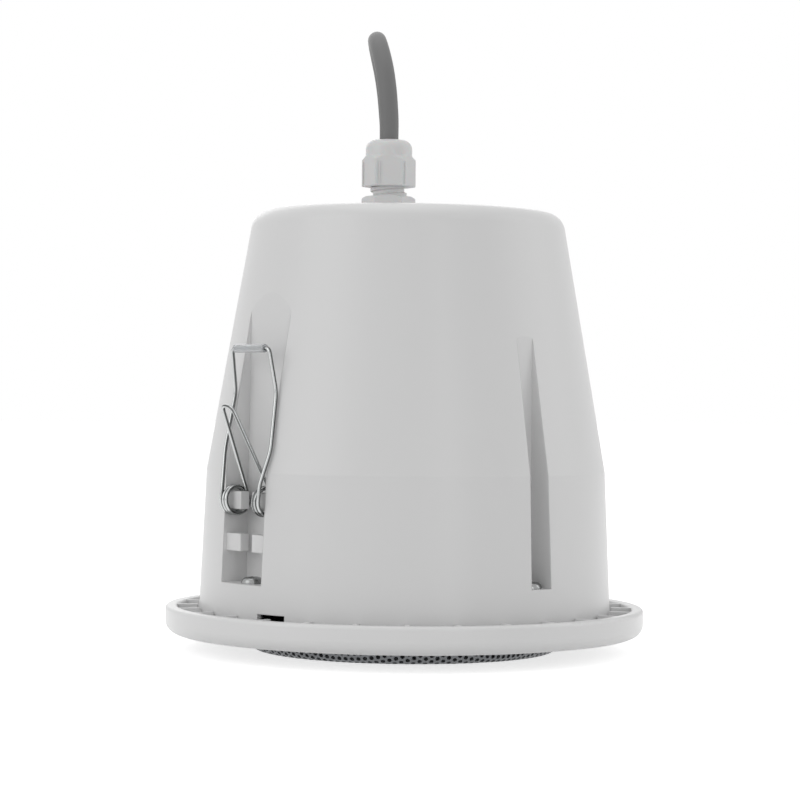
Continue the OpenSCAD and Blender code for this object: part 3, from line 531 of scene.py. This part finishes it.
def grilleTree(values):
    tree, given = geometryTree("punchedGrille", values)
    rows = given["Rows"]
    grid = addNode(tree, "GeometryNodeMeshGrid", {
        "Vertices X": rows, "Vertices Y": rows,
        "Size X": maths(tree, "MULTIPLY", maths(tree, "SUBTRACT", rows, 1.0), given["Pitch"]),
        "Size Y": maths(tree, "MULTIPLY", maths(tree, "SUBTRACT", rows, 1.0),
                        maths(tree, "MULTIPLY", given["Pitch"], math.sqrt(0.75)))})
    index = addNode(tree, "GeometryNodeInputIndex").outputs[0]
    odd = maths(tree, "MODULO", index, 2.0)      # the grid counts along Y first
    shift = addNode(tree, "ShaderNodeCombineXYZ",
                    {"X": maths(tree, "MULTIPLY", odd, maths(tree, "MULTIPLY", given["Pitch"], 0.5))})
    moved = addNode(tree, "GeometryNodeSetPosition",
                    {"Geometry": grid.outputs[0], "Offset": shift.outputs[0]})
    place = addNode(tree, "GeometryNodeInputPosition").outputs[0]
    far = addNode(tree, "FunctionNodeCompare",
                  {0: addNode(tree, "ShaderNodeVectorMath", {0: place},
                              operation="LENGTH").outputs["Value"], 1: given["Reach"]},
                  data_type="FLOAT", operation="GREATER_THAN")
    kept = addNode(tree, "GeometryNodeDeleteGeometry",
                   {"Geometry": moved.outputs[0], "Selection": far.outputs[0]}, domain="POINT")
    cell = addNode(tree, "GeometryNodeObjectInfo", {"Object": given["Cell"]})
    cells = addNode(tree, "GeometryNodeInstanceOnPoints",
                    {"Points": kept.outputs[0], "Instance": cell.outputs["Geometry"]})
    flat = addNode(tree, "GeometryNodeMergeByDistance",
                   {"Geometry": addNode(tree, "GeometryNodeRealizeInstances",
                                        {0: cells.outputs[0]}).outputs[0], "Distance": 0.00001})
    # the flat sheet is bent up round its edge
    at = addNode(tree, "ShaderNodeSeparateXYZ",
                 {0: addNode(tree, "GeometryNodeInputPosition").outputs[0]})
    x, y, depth = at.outputs
    reach = maths(tree, "SQRT", maths(tree, "ADD", maths(tree, "MULTIPLY", x, x),
                                      maths(tree, "MULTIPLY", y, y)))
    over = maths(tree, "SUBTRACT", reach, given["Bend Start"])
    angle = maths(tree, "MINIMUM", maths(tree, "MAXIMUM",
                                         maths(tree, "DIVIDE", over, given["Bend Radius"]), 0.0),
                  math.pi / 2)
    bend = maths(tree, "SUBTRACT", given["Bend Radius"], depth)
    radius = maths(tree, "ADD", maths(tree, "MINIMUM", reach, given["Bend Start"]),
                   maths(tree, "MULTIPLY", bend, maths(tree, "SINE", angle)))
    straight = maths(tree, "MAXIMUM",
                     maths(tree, "SUBTRACT", over,
                           maths(tree, "MULTIPLY", given["Bend Radius"], math.pi / 2)), 0.0)
    height = maths(tree, "ADD", straight,
                   maths(tree, "SUBTRACT", given["Bend Radius"],
                         maths(tree, "MULTIPLY", bend, maths(tree, "COSINE", angle))))
    share = maths(tree, "DIVIDE", radius, maths(tree, "MAXIMUM", reach, 0.00001))
    new = addNode(tree, "ShaderNodeCombineXYZ",
                  {"X": maths(tree, "MULTIPLY", x, share), "Y": maths(tree, "MULTIPLY", y, share),
                   "Z": height})
    bent = addNode(tree, "GeometryNodeSetPosition",
                   {"Geometry": flat.outputs[0], "Position": new.outputs[0]})
    finishTree(tree, bent.outputs[0], given["Finish"])
    return tree


def makeGrille(s, hem):
    cell = grilleCell(s)
    values = dict(s, Cell=cell, Finish=finish["grilleCoat"])
    mesh = bakeTree("grille_sheet", grilleTree(values), values)
    bpy.data.objects.remove(cell)
    outer = s["Bend Start"] + s["Bend Radius"]
    inner = outer - s["Sheet"]
    band = turnedMesh("hem", [(inner, hem["start"]), (outer, hem["start"]), (outer, hem["end"]),
                              (inner, hem["end"])], 144)
    bm = bmesh.new()
    bm.from_mesh(mesh)
    bm.from_mesh(band)
    bm.to_mesh(mesh)
    bm.free()
    piece = newPiece("grille_sheet", mesh, finish["grilleCoat"])
    smoothByAngle(mesh, 40)
    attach(piece, "enclosure")
    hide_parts("grille")
    print("grille triangles", sum(len(p.vertices) - 2 for p in mesh.polygons))


makeGrille(grille, grilleHem)


# spring clips, one bent wire each, in the clip's own frame: x outwards, y sideways, z up
clip = {
    "wire": 1.6, "coil": 11.0, "turns": 2.5, "turnPoints": 30, "coilEnd": 12.6,
    "pitch": 1.05,          # of the coil, in wire widths
    "axis": (80.0, 63.7), "armHeight": 60.9, "armOut": 0.8, "armHalf": 12.5,
    "knee": (-2.02, 13.8, 43.4), "hip": (1.75, 15.5, 20.4), "shin": (4.9, 12.6, 6.5),
    "bail": (12.0, 3.6, 37.7), "bailSkew": 1.0, "bend": 2.0, "legBend": 3.0, "bailBend": 3.2,
}


def roundCorner(a, b, c, radius, steps=6):
    a, b, c = Vector(a), Vector(b), Vector(c)
    p, q = b + radius * (a - b).normalized(), b + radius * (c - b).normalized()
    return [(1 - t) ** 2 * p + 2 * t * (1 - t) * b + t * t * q
            for t in [i / steps for i in range(steps + 1)]]


def halfWire(s, side):
    r = s["coil"] / 2
    pitch = s["wire"] * s["pitch"]
    count = round(s["turnPoints"] * s["turns"])
    coil = []
    for i in range(count + 1):
        turn = s["turns"] * i / count
        a = 2 * math.pi * turn
        coil.append(Vector((r * math.cos(a), s["coilEnd"] - pitch * turn, -r * math.sin(a))))
    top = (s["armOut"], 0, s["armHeight"])
    corner = (s["armOut"], s["armHalf"], s["armHeight"])
    knee, hip, shin = s["knee"], s["hip"], s["shin"]
    end = s["bail"][0], 0, s["bail"][2]
    tip = (s["bail"][0], s["bail"][1], s["bail"][2] - side * s["bailSkew"] / 2)
    wire = [Vector(top)]
    wire += roundCorner(top, corner, knee, s["bend"])
    wire += roundCorner(corner, knee, hip, s["legBend"])
    wire += roundCorner(knee, hip, shin, s["legBend"])
    wire += roundCorner(hip, shin, coil[0], s["bend"])
    wire += coil
    wire += roundCorner(coil[-1], tip, end, s["bailBend"], 10)
    return [Vector((p.x, side * p.y, p.z)) for p in wire]


def makeClip(name, s, turn, body, node):
    # known fault: the sweep stops short of its start, so the arm has a gap under the sleeve
    path = halfWire(s, 1) + halfWire(s, -1)[:0:-1]
    path = [p for i, p in enumerate(path) if i == 0 or (p - path[i - 1]).length > 1e-5]
    place = Matrix.Rotation(math.radians(turn), 4, "Z") @ Matrix.Translation(
        (s["axis"][0], 0, s["axis"][1]))
    mesh = sweepTube(name, [(place @ p) / 1000 for p in path], s["wire"] / 2000, 14, 0.004)
    piece = newPiece(name, mesh, finish["springWire"])
    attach(piece, body)
    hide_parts(node)


# soft clear sleeve on the long arm
sleeve = {"outer": 1.7, "bore": 0.95, "length": 20.4, "shift": 0.35, "lip": 0.3}


def makeSleeve(name, s, turn, body, node):
    half = s["length"] / 2
    profile = [(s["bore"], -half), (s["outer"] - s["lip"], -half), (s["outer"], -half + s["lip"]),
               (s["outer"], half - s["lip"]), (s["outer"] - s["lip"], half), (s["bore"], half)]
    mesh = turnedMesh(name, profile, 32)
    lie = (Matrix.Rotation(math.radians(turn), 4, "Z")
           @ Matrix.Translation((clip["axis"][0] + clip["armOut"], -s["shift"],
                                 clip["axis"][1] + clip["armHeight"]))
           @ Matrix.Rotation(math.radians(90), 4, "X"))
    mesh.transform(Matrix.Scale(0.001, 4) @ lie)
    piece = newPiece(name, mesh, finish["clearSleeve"])
    smoothByAngle(mesh, 40)
    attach(piece, body)
    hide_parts(node)


for side, turn in (("left", 180), ("right", 0)):
    makeClip("clip_wire_" + side, clip, turn, "clip_" + side, "spring_clip_" + side)
    makeSleeve("clip_tube_" + side, sleeve, turn, "clip_" + side, "clip_sleeve_" + side)
print("spring clips made")


# the cone's soft ring and spider, each split so that its inner half moves with the cone
suspension = {
    "thick": 0.5, "gap": 0.12,
    "flange": 16.9, "lip": 44.5, "cone": 48.0, "seat": 56.0, "rim": 62.0, "fillet": 0.3,
    "cloth": 35.9, "former": 13.1, "neck": 2.0, "waves": 4, "splitWave": 3, "waveHalf": 0.5,
    "wavePoints": 8,        # per half wave
    "clothIn": 33.0, "clothOut": 39.5,
}


def stripMesh(name, line, thick):
    left, right = [], []
    for i, (r, z) in enumerate(line):
        a, b = line[max(i - 1, 0)], line[min(i + 1, len(line) - 1)]
        along = Vector((b[0] - a[0], b[1] - a[1])).normalized() * thick / 2
        left.append(((r - along.y) / 1000, (z + along.x) / 1000))
        right.append(((r + along.y) / 1000, (z - along.x) / 1000))
    return turnedMesh(name, right + left[::-1], 96)


def ringLine(s):
    z, half = s["flange"] - s["thick"] / 2, (s["seat"] - s["cone"]) / 2
    reach = half + s["thick"] / 2
    middle = s["cone"] + half
    angles = [math.pi * i / 24 for i in range(25)]
    arc = [(middle - reach * math.cos(a), s["flange"] - reach * math.sin(a)) for a in angles]
    arc = [p for p in arc if p[1] < z]
    start = [(s["lip"], z), (arc[0][0] - s["fillet"], z)]
    end = [(arc[-1][0] + s["fillet"], z), (s["rim"], z)]
    return start + arc + end, middle


def clothLine(s):
    start = s["former"] + s["neck"]
    step = (s["clothIn"] - start) / (2 * s["waves"])
    z = s["cloth"] - s["thick"] / 2
    points, high = s["wavePoints"], s["waveHalf"]
    wave = [(start + step * i / points, z - high + high * math.cos(math.pi * i / points))
            for i in range(2 * points * s["waves"] + 1)]
    return [(s["former"], z)] + wave + [(s["clothOut"], z)], start + step * s["splitWave"]


def makeSuspension(s):
    for label, (line, split), node, look, slot in (
            ("cone_ring", ringLine(s), "surround", "softRubber", "black_rubber"),
            ("cone_spider", clothLine(s), "spider", "spiderCloth", "spider_cloth")):
        inner = [p for p in line if p[0] < split - s["gap"] / 2]
        outer = [p for p in line if p[0] > split + s["gap"] / 2]
        for part, points, body in (("inner", inner, "moving_coil"), ("outer", outer, "enclosure")):
            piece = newPiece(label + "_" + part, stripMesh(label, points, s["thick"]), finish[look])
            smoothByAngle(piece.data, 40)
            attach(piece, body)
            if part == "outer":
                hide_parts(node)


makeSuspension(suspension)
print("cone's soft parts made")


# cable gland: hexagon body with a coarse thread, and a domed nut
gland = {
    "centre": (0.0, 13.5), "flats": 20.0, "turn": 20.7,
    "base": 184.5, "hexTop": 190.5, "nut": 194.6, "top": 214.6, "hexHeight": 12.0,
    "corner": 0.12, "domeIn": 0.12, "edge": 4.0, "nutFoot": 0.35, "nutBore": 7.2,
    "bore": 4.1, "mouth": 0.5, "mouthDeep": 0.4, "boreDeep": 7.0, "coneDeep": 8.0,
    "bevelBelow": 0.9, "bevelFrom": -0.6, "bevelRise": 1.9, "bevelOut": 1.55, "bevelPower": 1.3,
    "shankRadius": 8.0, "shankFoot": 172.0, "shankEdge": 0.6, "bodyFoot": 0.3,
    "bodyEdge": 1.4, "bodyIn": 1.5, "bodyOut": 1.6,
    "root": 6.7, "crest": 7.75, "pitch": 3.5, "flankHalf": 0.30, "flank": 0.13,
    "threadBelow": 0.3, "threadAbove": 1.0, "neckAbove": 1.2, "collar": 0.2,
    "ribLift": 5.6, "ribSink": 0.55,
}


def hexReach(s, angle):
    a = (math.degrees(angle) - s["turn"]) % 60 - 30
    apothem = s["flats"] / 2
    sharp = apothem / math.cos(math.radians(a))
    return min(sharp, apothem / math.cos(math.radians(30)) - s["corner"])


def loftRings(name, rings):
    rows, steps = len(rings), len(rings[0])
    points = [p for ring in rings for p in ring]
    faces = []
    for i in range(rows):
        j = (i + 1) % rows
        for k in range(steps):
            n = (k + 1) % steps
            faces.append((i * steps + k, i * steps + n, j * steps + n, j * steps + k))
    return cleaned(meshFrom(name, points, faces))


def glandRing(s, z, reach, steps=144, inset=0.0, hexed=True):
    ring = []
    for k in range(steps):
        a = 2 * math.pi * k / steps + math.radians(s["turn"])
        r = reach - inset
        if hexed:
            r = min(r, hexReach(s, a) - inset)
        ring.append(((s["centre"][0] + r * math.cos(a)) / 1000,
                     (s["centre"][1] + r * math.sin(a)) / 1000, z / 1000))
    return ring


def pastCorners(s):         # a radius that the hexagon always cuts
    return s["flats"] / 2 / math.cos(math.radians(30)) + 1


def makeNut(s):
    dome = s["flats"] / 2 - s["domeIn"]
    big = pastCorners(s)
    shoulder = s["nut"] + s["hexHeight"]
    z0, top, e = s["nut"], s["top"], s["edge"]
    rings = [glandRing(s, z0, s["nutBore"], hexed=False), glandRing(s, z0, big, inset=s["nutFoot"]),
             glandRing(s, z0 + s["nutFoot"], big), glandRing(s, shoulder - s["bevelBelow"], big)]
    for i in range(5):          # shoulder chamfer over the hexagon's corners
        t = i / 4
        rings.append(glandRing(s, shoulder + s["bevelFrom"] + t * s["bevelRise"],
                               dome + s["bevelOut"] * (1 - t) ** s["bevelPower"]))
    rings.append(glandRing(s, top - e, dome))
    for i in range(1, 8):
        a = math.radians(90 * i / 7)
        rings.append(glandRing(s, top - e + e * math.sin(a), dome - e + e * math.cos(a)))
    for depth, r in ((0, s["bore"] + s["mouth"]), (s["mouthDeep"], s["bore"]),
                     (s["boreDeep"], s["bore"]), (s["coneDeep"], s["nutBore"])):
        rings.append(glandRing(s, top - depth, r, hexed=False))
    return loftRings("gland_cap", rings)


# fine grip ribs beside the nut's corners
nutRibs = {"Ribs": 3, "Spacing": 0.0009, "Width": 0.00042, "Height": 0.0095, "Depth": 0.0005}


def ribTree(values):
    tree, given = geometryTree("nutRibs", values)
    bar = addNode(tree, "GeometryNodeMeshCylinder",
                  {"Vertices": 10, "Radius": maths(tree, "MULTIPLY", given["Width"], 0.5),
                   "Depth": given["Height"]})
    line = addNode(tree, "GeometryNodeMeshLine", {"Count": given["Ribs"]}, mode="OFFSET")
    step = addNode(tree, "ShaderNodeCombineXYZ", {"Y": given["Spacing"]})
    tree.links.new(step.outputs[0], line.inputs["Offset"])
    row = addNode(tree, "GeometryNodeInstanceOnPoints",
                  {"Points": line.outputs[0], "Instance": bar.outputs["Mesh"]})
    corners = addNode(tree, "GeometryNodeMeshCircle", {"Vertices": 6, "Radius": given["Reach"]})
    index = addNode(tree, "GeometryNodeInputIndex").outputs[0]
    turn = addNode(tree, "ShaderNodeCombineXYZ",
                   {"Z": maths(tree, "MULTIPLY", index, math.pi / 3)})
    around = addNode(tree, "GeometryNodeInstanceOnPoints",
                     {"Points": corners.outputs[0], "Instance": row.outputs[0],
                      "Rotation": turn.outputs[0]})
    finishTree(tree, around.outputs[0], given["Finish"])
    return tree


def makeThread(s, steps):
    rows = 30
    low, high = s["hexTop"] - s["threadBelow"], s["nut"] + s["threadAbove"]
    rings = []
    for i in range(rows + 1):
        z = low + (high - low) * i / rows
        ring = []
        for k in range(steps):
            a = 2 * math.pi * k / steps
            phase = ((z - low) / s["pitch"] - k / steps) % 1.0
            rise = min(max((s["flankHalf"] - abs(phase - 0.5)) / s["flank"], 0.0), 1.0)
            r = s["root"] + (s["crest"] - s["root"]) * rise
            ring.append(((s["centre"][0] + r * math.cos(a)) / 1000,
                         (s["centre"][1] + r * math.sin(a)) / 1000, z / 1000))
        rings.append(ring)
    return rings


def makeGlandBody(s):
    big, foot, base = pastCorners(s), s["shankFoot"], s["base"]
    steps = 96

    def ring(z, r, hexed=False, inset=0.0):
        return glandRing(s, z, r, steps, inset, hexed)

    rings = [ring(foot, s["bore"]), ring(foot, s["shankRadius"] - s["shankEdge"]),
             ring(foot + s["shankEdge"], s["shankRadius"]), ring(base, s["shankRadius"]),
             ring(base, big, True, s["bodyFoot"]), ring(base + s["bodyFoot"], big, True)]
    for i in range(5):          # the body's chamfer
        t = i / 4
        rings.append(ring(s["hexTop"] - s["bodyEdge"] * (1 - t),
                          s["flats"] / 2 + s["bodyOut"] - s["bodyIn"] * t ** 2, True))
    rings.append(ring(s["hexTop"], s["root"] + s["collar"]))
    # the thread's rings start at angle 0, the other rings at the hexagon's turn
    shift = round(steps * (360 - s["turn"]) / 360)
    for r in makeThread(s, steps):
        rings.append(r[-shift:] + r[:-shift])
    rings.append(ring(s["nut"] + s["neckAbove"], s["bore"]))
    return loftRings("gland_base", rings)


nutMesh = makeNut(gland)
ribReach = gland["flats"] / 2 / math.cos(math.radians(30)) - gland["ribSink"]
ribValues = dict(nutRibs, Reach=ribReach / 1000, Finish=finish["glandNylon"])
ribMesh = bakeTree("nutRibs", ribTree(ribValues), ribValues)
ribMesh.transform(Matrix.Translation((gland["centre"][0] / 1000, gland["centre"][1] / 1000,
                                      (gland["nut"] + gland["ribLift"]) / 1000))
                  @ Matrix.Rotation(math.radians(gland["turn"]), 4, "Z"))
capPiece = newPiece("gland_cap", joinMeshes("gland_cap", [(nutMesh, "glandNylon"),
                                                          (ribMesh, "glandNylon")]))
basePiece = newPiece("gland_base", makeGlandBody(gland), finish["glandNylon"])
for piece, node in ((capPiece, "gland_nut"), (basePiece, "gland_body")):
    for face in piece.data.polygons:
        face.use_smooth = True
    smoothByAngle(piece.data, 28)
    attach(piece, "enclosure")
    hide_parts(node)
print("cable gland made")


# pan-head cross screws in the pockets
screws = {"Radius": 0.07865, "Seat": 0.0305, "Head": 0.009, "Rise": 0.0028, "Shank": 0.004,
          "Length": 0.015, "Tip": 0.001, "Turn": 1.9}
crossSlot = {"half": 0.00055, "reach": 0.62, "depth": 0.62, "taper": 0.45, "narrowing": 0.7}


def screwHead(s, slot):
    r, h = s["Head"] / 2, s["Rise"]
    profile = [(0, h), (r * 0.45, h * 0.97), (r * 0.75, h * 0.84), (r * 0.92, h * 0.6),
               (r, h * 0.25), (r, 0), (s["Shank"] / 2, 0), (s["Shank"] / 2, -s["Length"] + s["Tip"]),
               (s["Shank"] / 4, -s["Length"]), (0, -s["Length"])]
    head = newPiece("screwHead", turnedMesh("screwHead", profile, 40))
    w, l = slot["half"], r * slot["reach"]
    above, below = h * 1.2, h - h * slot["depth"]
    corners = ((-1, -1), (1, -1), (1, 1), (-1, 1))
    for angle in (0, 90):
        pts = [(x * l, y * w, above) for x, y in corners]
        pts += [(x * l * slot["taper"], y * w * slot["narrowing"], below) for x, y in corners]
        faces = [(0, 1, 2, 3), (7, 6, 5, 4), (1, 0, 4, 5), (2, 1, 5, 6), (3, 2, 6, 7),
                 (0, 3, 7, 4)]
        mesh = cleaned(meshFrom("slot", pts, faces))
        mesh.transform(Matrix.Rotation(math.radians(angle), 4, "Z"))
        cutter = newPiece("slot", mesh)
        cut = head.modifiers.new("slot", "BOOLEAN")
        cut.object = cutter
        cut.solver = "EXACT"
        bpy.context.view_layer.update()
        result = bpy.data.meshes.new_from_object(
            head.evaluated_get(bpy.context.evaluated_depsgraph_get()))
        head.modifiers.clear()
        head.data = result
        bpy.data.objects.remove(cutter)
    return head


def screwTree(values):
    tree, given = geometryTree("pocketScrews", values)
    spots = addNode(tree, "GeometryNodeMeshCircle", {"Vertices": 4, "Radius": given["Radius"]})
    lift = addNode(tree, "GeometryNodeSetPosition",
                   {"Geometry": spots.outputs[0],
                    "Offset": addNode(tree, "ShaderNodeCombineXYZ",
                                      {"Z": given["Seat"]}).outputs[0]})
    index = addNode(tree, "GeometryNodeInputIndex").outputs[0]
    turn = addNode(tree, "ShaderNodeCombineXYZ", {"Z": maths(tree, "MULTIPLY", index, given["Turn"])})
    head = addNode(tree, "GeometryNodeObjectInfo", {"Object": given["Screw"]})
    heads = addNode(tree, "GeometryNodeInstanceOnPoints",
                    {"Points": lift.outputs[0], "Instance": head.outputs["Geometry"],
                     "Rotation": turn.outputs[0]})
    finishTree(tree, heads.outputs[0], given["Finish"])
    return tree


head = screwHead(screws, crossSlot)
screwValues = dict(screws, Screw=head, Finish=finish["platedScrew"])
screwMesh = bakeTree("pocket_screws", screwTree(screwValues), screwValues)
screwPiece = newPiece("pocket_screws", screwMesh, finish["platedScrew"])
bpy.data.objects.remove(head)
smoothByAngle(screwPiece.data, 30)
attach(screwPiece, "enclosure")
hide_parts("housing_screws")


# toothed tie round the coil
tie = {
    "angle": -50.0, "inner": 34.7, "outer": 52.8, "high": 9.0, "wide": 4.0, "thick": 1.0,
    "corner": 3.6, "headOut": 1.2, "headLift": 4.2, "headSize": (3.4, 6.2, 5.2), "headEdge": 0.12,
    "teethStart": 38.4, "teethSink": 0.1,
}
tieTeeth = {"Teeth": 13, "Step": 0.0009, "Tooth": 0.0005, "Depth": 0.00025}
toothWidening = 3.4


def makeTie(s):
    near, far = s["inner"] + s["corner"], s["outer"] - s["corner"]
    low, high = s["corner"], s["high"] - s["corner"]

    def loop(grow):
        c = s["corner"] - grow
        out = []
        for cx, cz, start in ((far, high, 0), (near, high, 90), (near, low, 180), (far, low, 270)):
            for i in range(7):
                a = math.radians(start + 15 * i)
                out.append((cx + c * math.cos(a), cz + c * math.sin(a)))
        return out

    outerLoop, innerLoop = loop(0), loop(s["thick"])
    half = s["wide"] / 2
    rings = [[(x / 1000, y / 1000, z / 1000) for x, z in ring]
             for ring, y in ((outerLoop, -half), (outerLoop, half), (innerLoop, half),
                             (innerLoop, -half))]
    band = loftRings("tieBand", rings)
    head = bmesh.new()
    bmesh.ops.create_cube(head, size=1)
    bmesh.ops.bevel(head, geom=head.edges[:], offset=s["headEdge"], segments=3, affect="EDGES")
    place = Matrix.Translation((s["inner"] - s["headOut"], 0, s["headLift"]))
    bmesh.ops.transform(head, verts=head.verts,
                        matrix=Matrix.Scale(0.001, 4) @ place @ Matrix.Diagonal((*s["headSize"], 1)))
    headMesh = bpy.data.meshes.new("tieHead")
    head.to_mesh(headMesh)
    head.free()
    return band, headMesh


def teethTree(values):
    tree, given = geometryTree("tieTeeth", values)
    line = addNode(tree, "GeometryNodeMeshLine",
                   {"Count": given["Teeth"],
                    "Offset": addNode(tree, "ShaderNodeCombineXYZ",
                                      {"X": given["Step"]}).outputs[0]}, mode="OFFSET")
    tooth = addNode(tree, "GeometryNodeMeshCone",
                    {"Vertices": 4, "Radius Top": maths(tree, "MULTIPLY", given["Tooth"], 0.4),
                     "Radius Bottom": given["Tooth"], "Depth": given["Depth"]})
    square = addNode(tree, "GeometryNodeTransform",
                     {"Geometry": tooth.outputs["Mesh"], "Rotation": (0, 0, math.pi / 4)})
    wide = addNode(tree, "GeometryNodeTransform",
                   {"Geometry": square.outputs[0], "Scale": (1.0, toothWidening, 1.0)})
    row = addNode(tree, "GeometryNodeInstanceOnPoints",
                  {"Points": line.outputs[0], "Instance": wide.outputs[0]})
    finishTree(tree, row.outputs[0], given["Finish"])
    return tree


tieBand, tieHead = makeTie(tie)
teethValues = dict(tieTeeth, Finish=finish["tieNylon"])
teeth = bakeTree("tieTeeth", teethTree(teethValues), teethValues)
teeth.transform(Matrix.Translation((tie["teethStart"] / 1000, 0,
                                    (tie["high"] - tie["teethSink"]) / 1000)))
tieMesh = joinMeshes("coil_tie", [(mesh, "tieNylon") for mesh in (tieBand, tieHead, teeth)])
tieMesh.transform(Matrix.Translation((cable["coilCentre"][0] / 1000,
                                      cable["coilCentre"][1] / 1000, 0))
                  @ Matrix.Rotation(math.radians(tie["angle"]), 4, "Z"))
tiePiece = newPiece("coil_tie", tieMesh, smooth=False)

for piece, slotName, nodes in ((cableTube, "cable_jacket", ("cable", "cable_coil")),
                               (coreEnds, "copper", ("cable_end",)),
                               (tiePiece, "tie_plastic", ("cable_tie",))):
    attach(piece, "enclosure")
    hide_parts(*nodes)
print("cord made")


# floor, world and lamps
studio = {
    "ambient": 0.58,
    "floorShade": "#e6e6e6",
    "floorGlow": 0.70,
    "floorHalf": 6.0,
    "floorLevel": -0.0002,
    "aimHeight": 0.1,
    "lamps": [   # name, direction from the object, distance, width, height, watts
        ("leftLamp", (-1.0, 0.12, 0.42), 1.7, 1.3, 1.3, 4.7),
        ("rightLamp", (0.85, -0.60, 0.40), 1.7, 1.3, 1.3, 3.1),
        ("topLamp", (0.0, 0.1, 1.0), 1.6, 1.4, 1.4, 4.0),
        ("backLamp", (0.6, 1.0, 0.6), 1.8, 1.3, 1.3, 3.0),
        ("stripLamp", (-0.30, -1.05, 0.12), 1.3, 0.14, 0.9, 1.0),
    ],
}


def seenDirectly(tree):
    path = addNode(tree, "ShaderNodeLightPath")
    rays = maths(tree, "MAXIMUM", path.outputs["Is Camera Ray"], path.outputs["Is Glossy Ray"])
    return maths(tree, "MAXIMUM", rays, path.outputs["Is Transmission Ray"])


def makeStudio(s):
    world = bpy.data.worlds.new("softTent")
    world.use_nodes = True
    tree = world.node_tree
    tree.nodes.clear()
    strength = maths(tree, "ADD", maths(tree, "MULTIPLY", seenDirectly(tree), 1 - s["ambient"]),
                     s["ambient"])
    sky = addNode(tree, "ShaderNodeBackground", {"Color": (1, 1, 1, 1), "Strength": strength})
    end = addNode(tree, "ShaderNodeOutputWorld")
    tree.links.new(sky.outputs[0], end.inputs[0])
    bpy.context.scene.world = world

    floorMat = bpy.data.materials.new("paleFloor")
    floorMat.use_nodes = True
    tree = floorMat.node_tree
    tree.nodes.clear()
    matt = addNode(tree, "ShaderNodeBsdfDiffuse", {"Color": linear(s["floorShade"])})
    glow = addNode(tree, "ShaderNodeEmission",
                   {"Color": (1, 1, 1, 1),
                    "Strength": maths(tree, "MULTIPLY", seenDirectly(tree), s["floorGlow"])})
    both = addNode(tree, "ShaderNodeAddShader", {0: matt.outputs[0], 1: glow.outputs[0]})
    end = addNode(tree, "ShaderNodeOutputMaterial")
    tree.links.new(both.outputs[0], end.inputs[0])
    half, level = s["floorHalf"], s["floorLevel"]
    corners = [(x * half, y * half, level) for x, y in ((-1, -1), (1, -1), (1, 1), (-1, 1))]
    floor = newPiece("floor", meshFrom("floor", corners, [(0, 1, 2, 3)]), floorMat, smooth=False)

    for name, direction, distance, width, height, power in s["lamps"]:
        data = bpy.data.lights.new(name, "AREA")
        data.shape = "ELLIPSE"
        data.size, data.size_y = width, height
        data.energy = power
        lamp = bpy.data.objects.new(name, data)
        bpy.context.scene.collection.objects.link(lamp)
        aim = Vector(direction).normalized()
        lamp.location = Vector((0, 0, s["aimHeight"])) + aim * distance
        lamp.rotation_euler = aim.to_track_quat("Z", "Y").to_euler()
        lamp.visible_camera = False


makeStudio(studio)
bpy.context.scene.view_settings.view_transform = "Standard"
print("studio made")
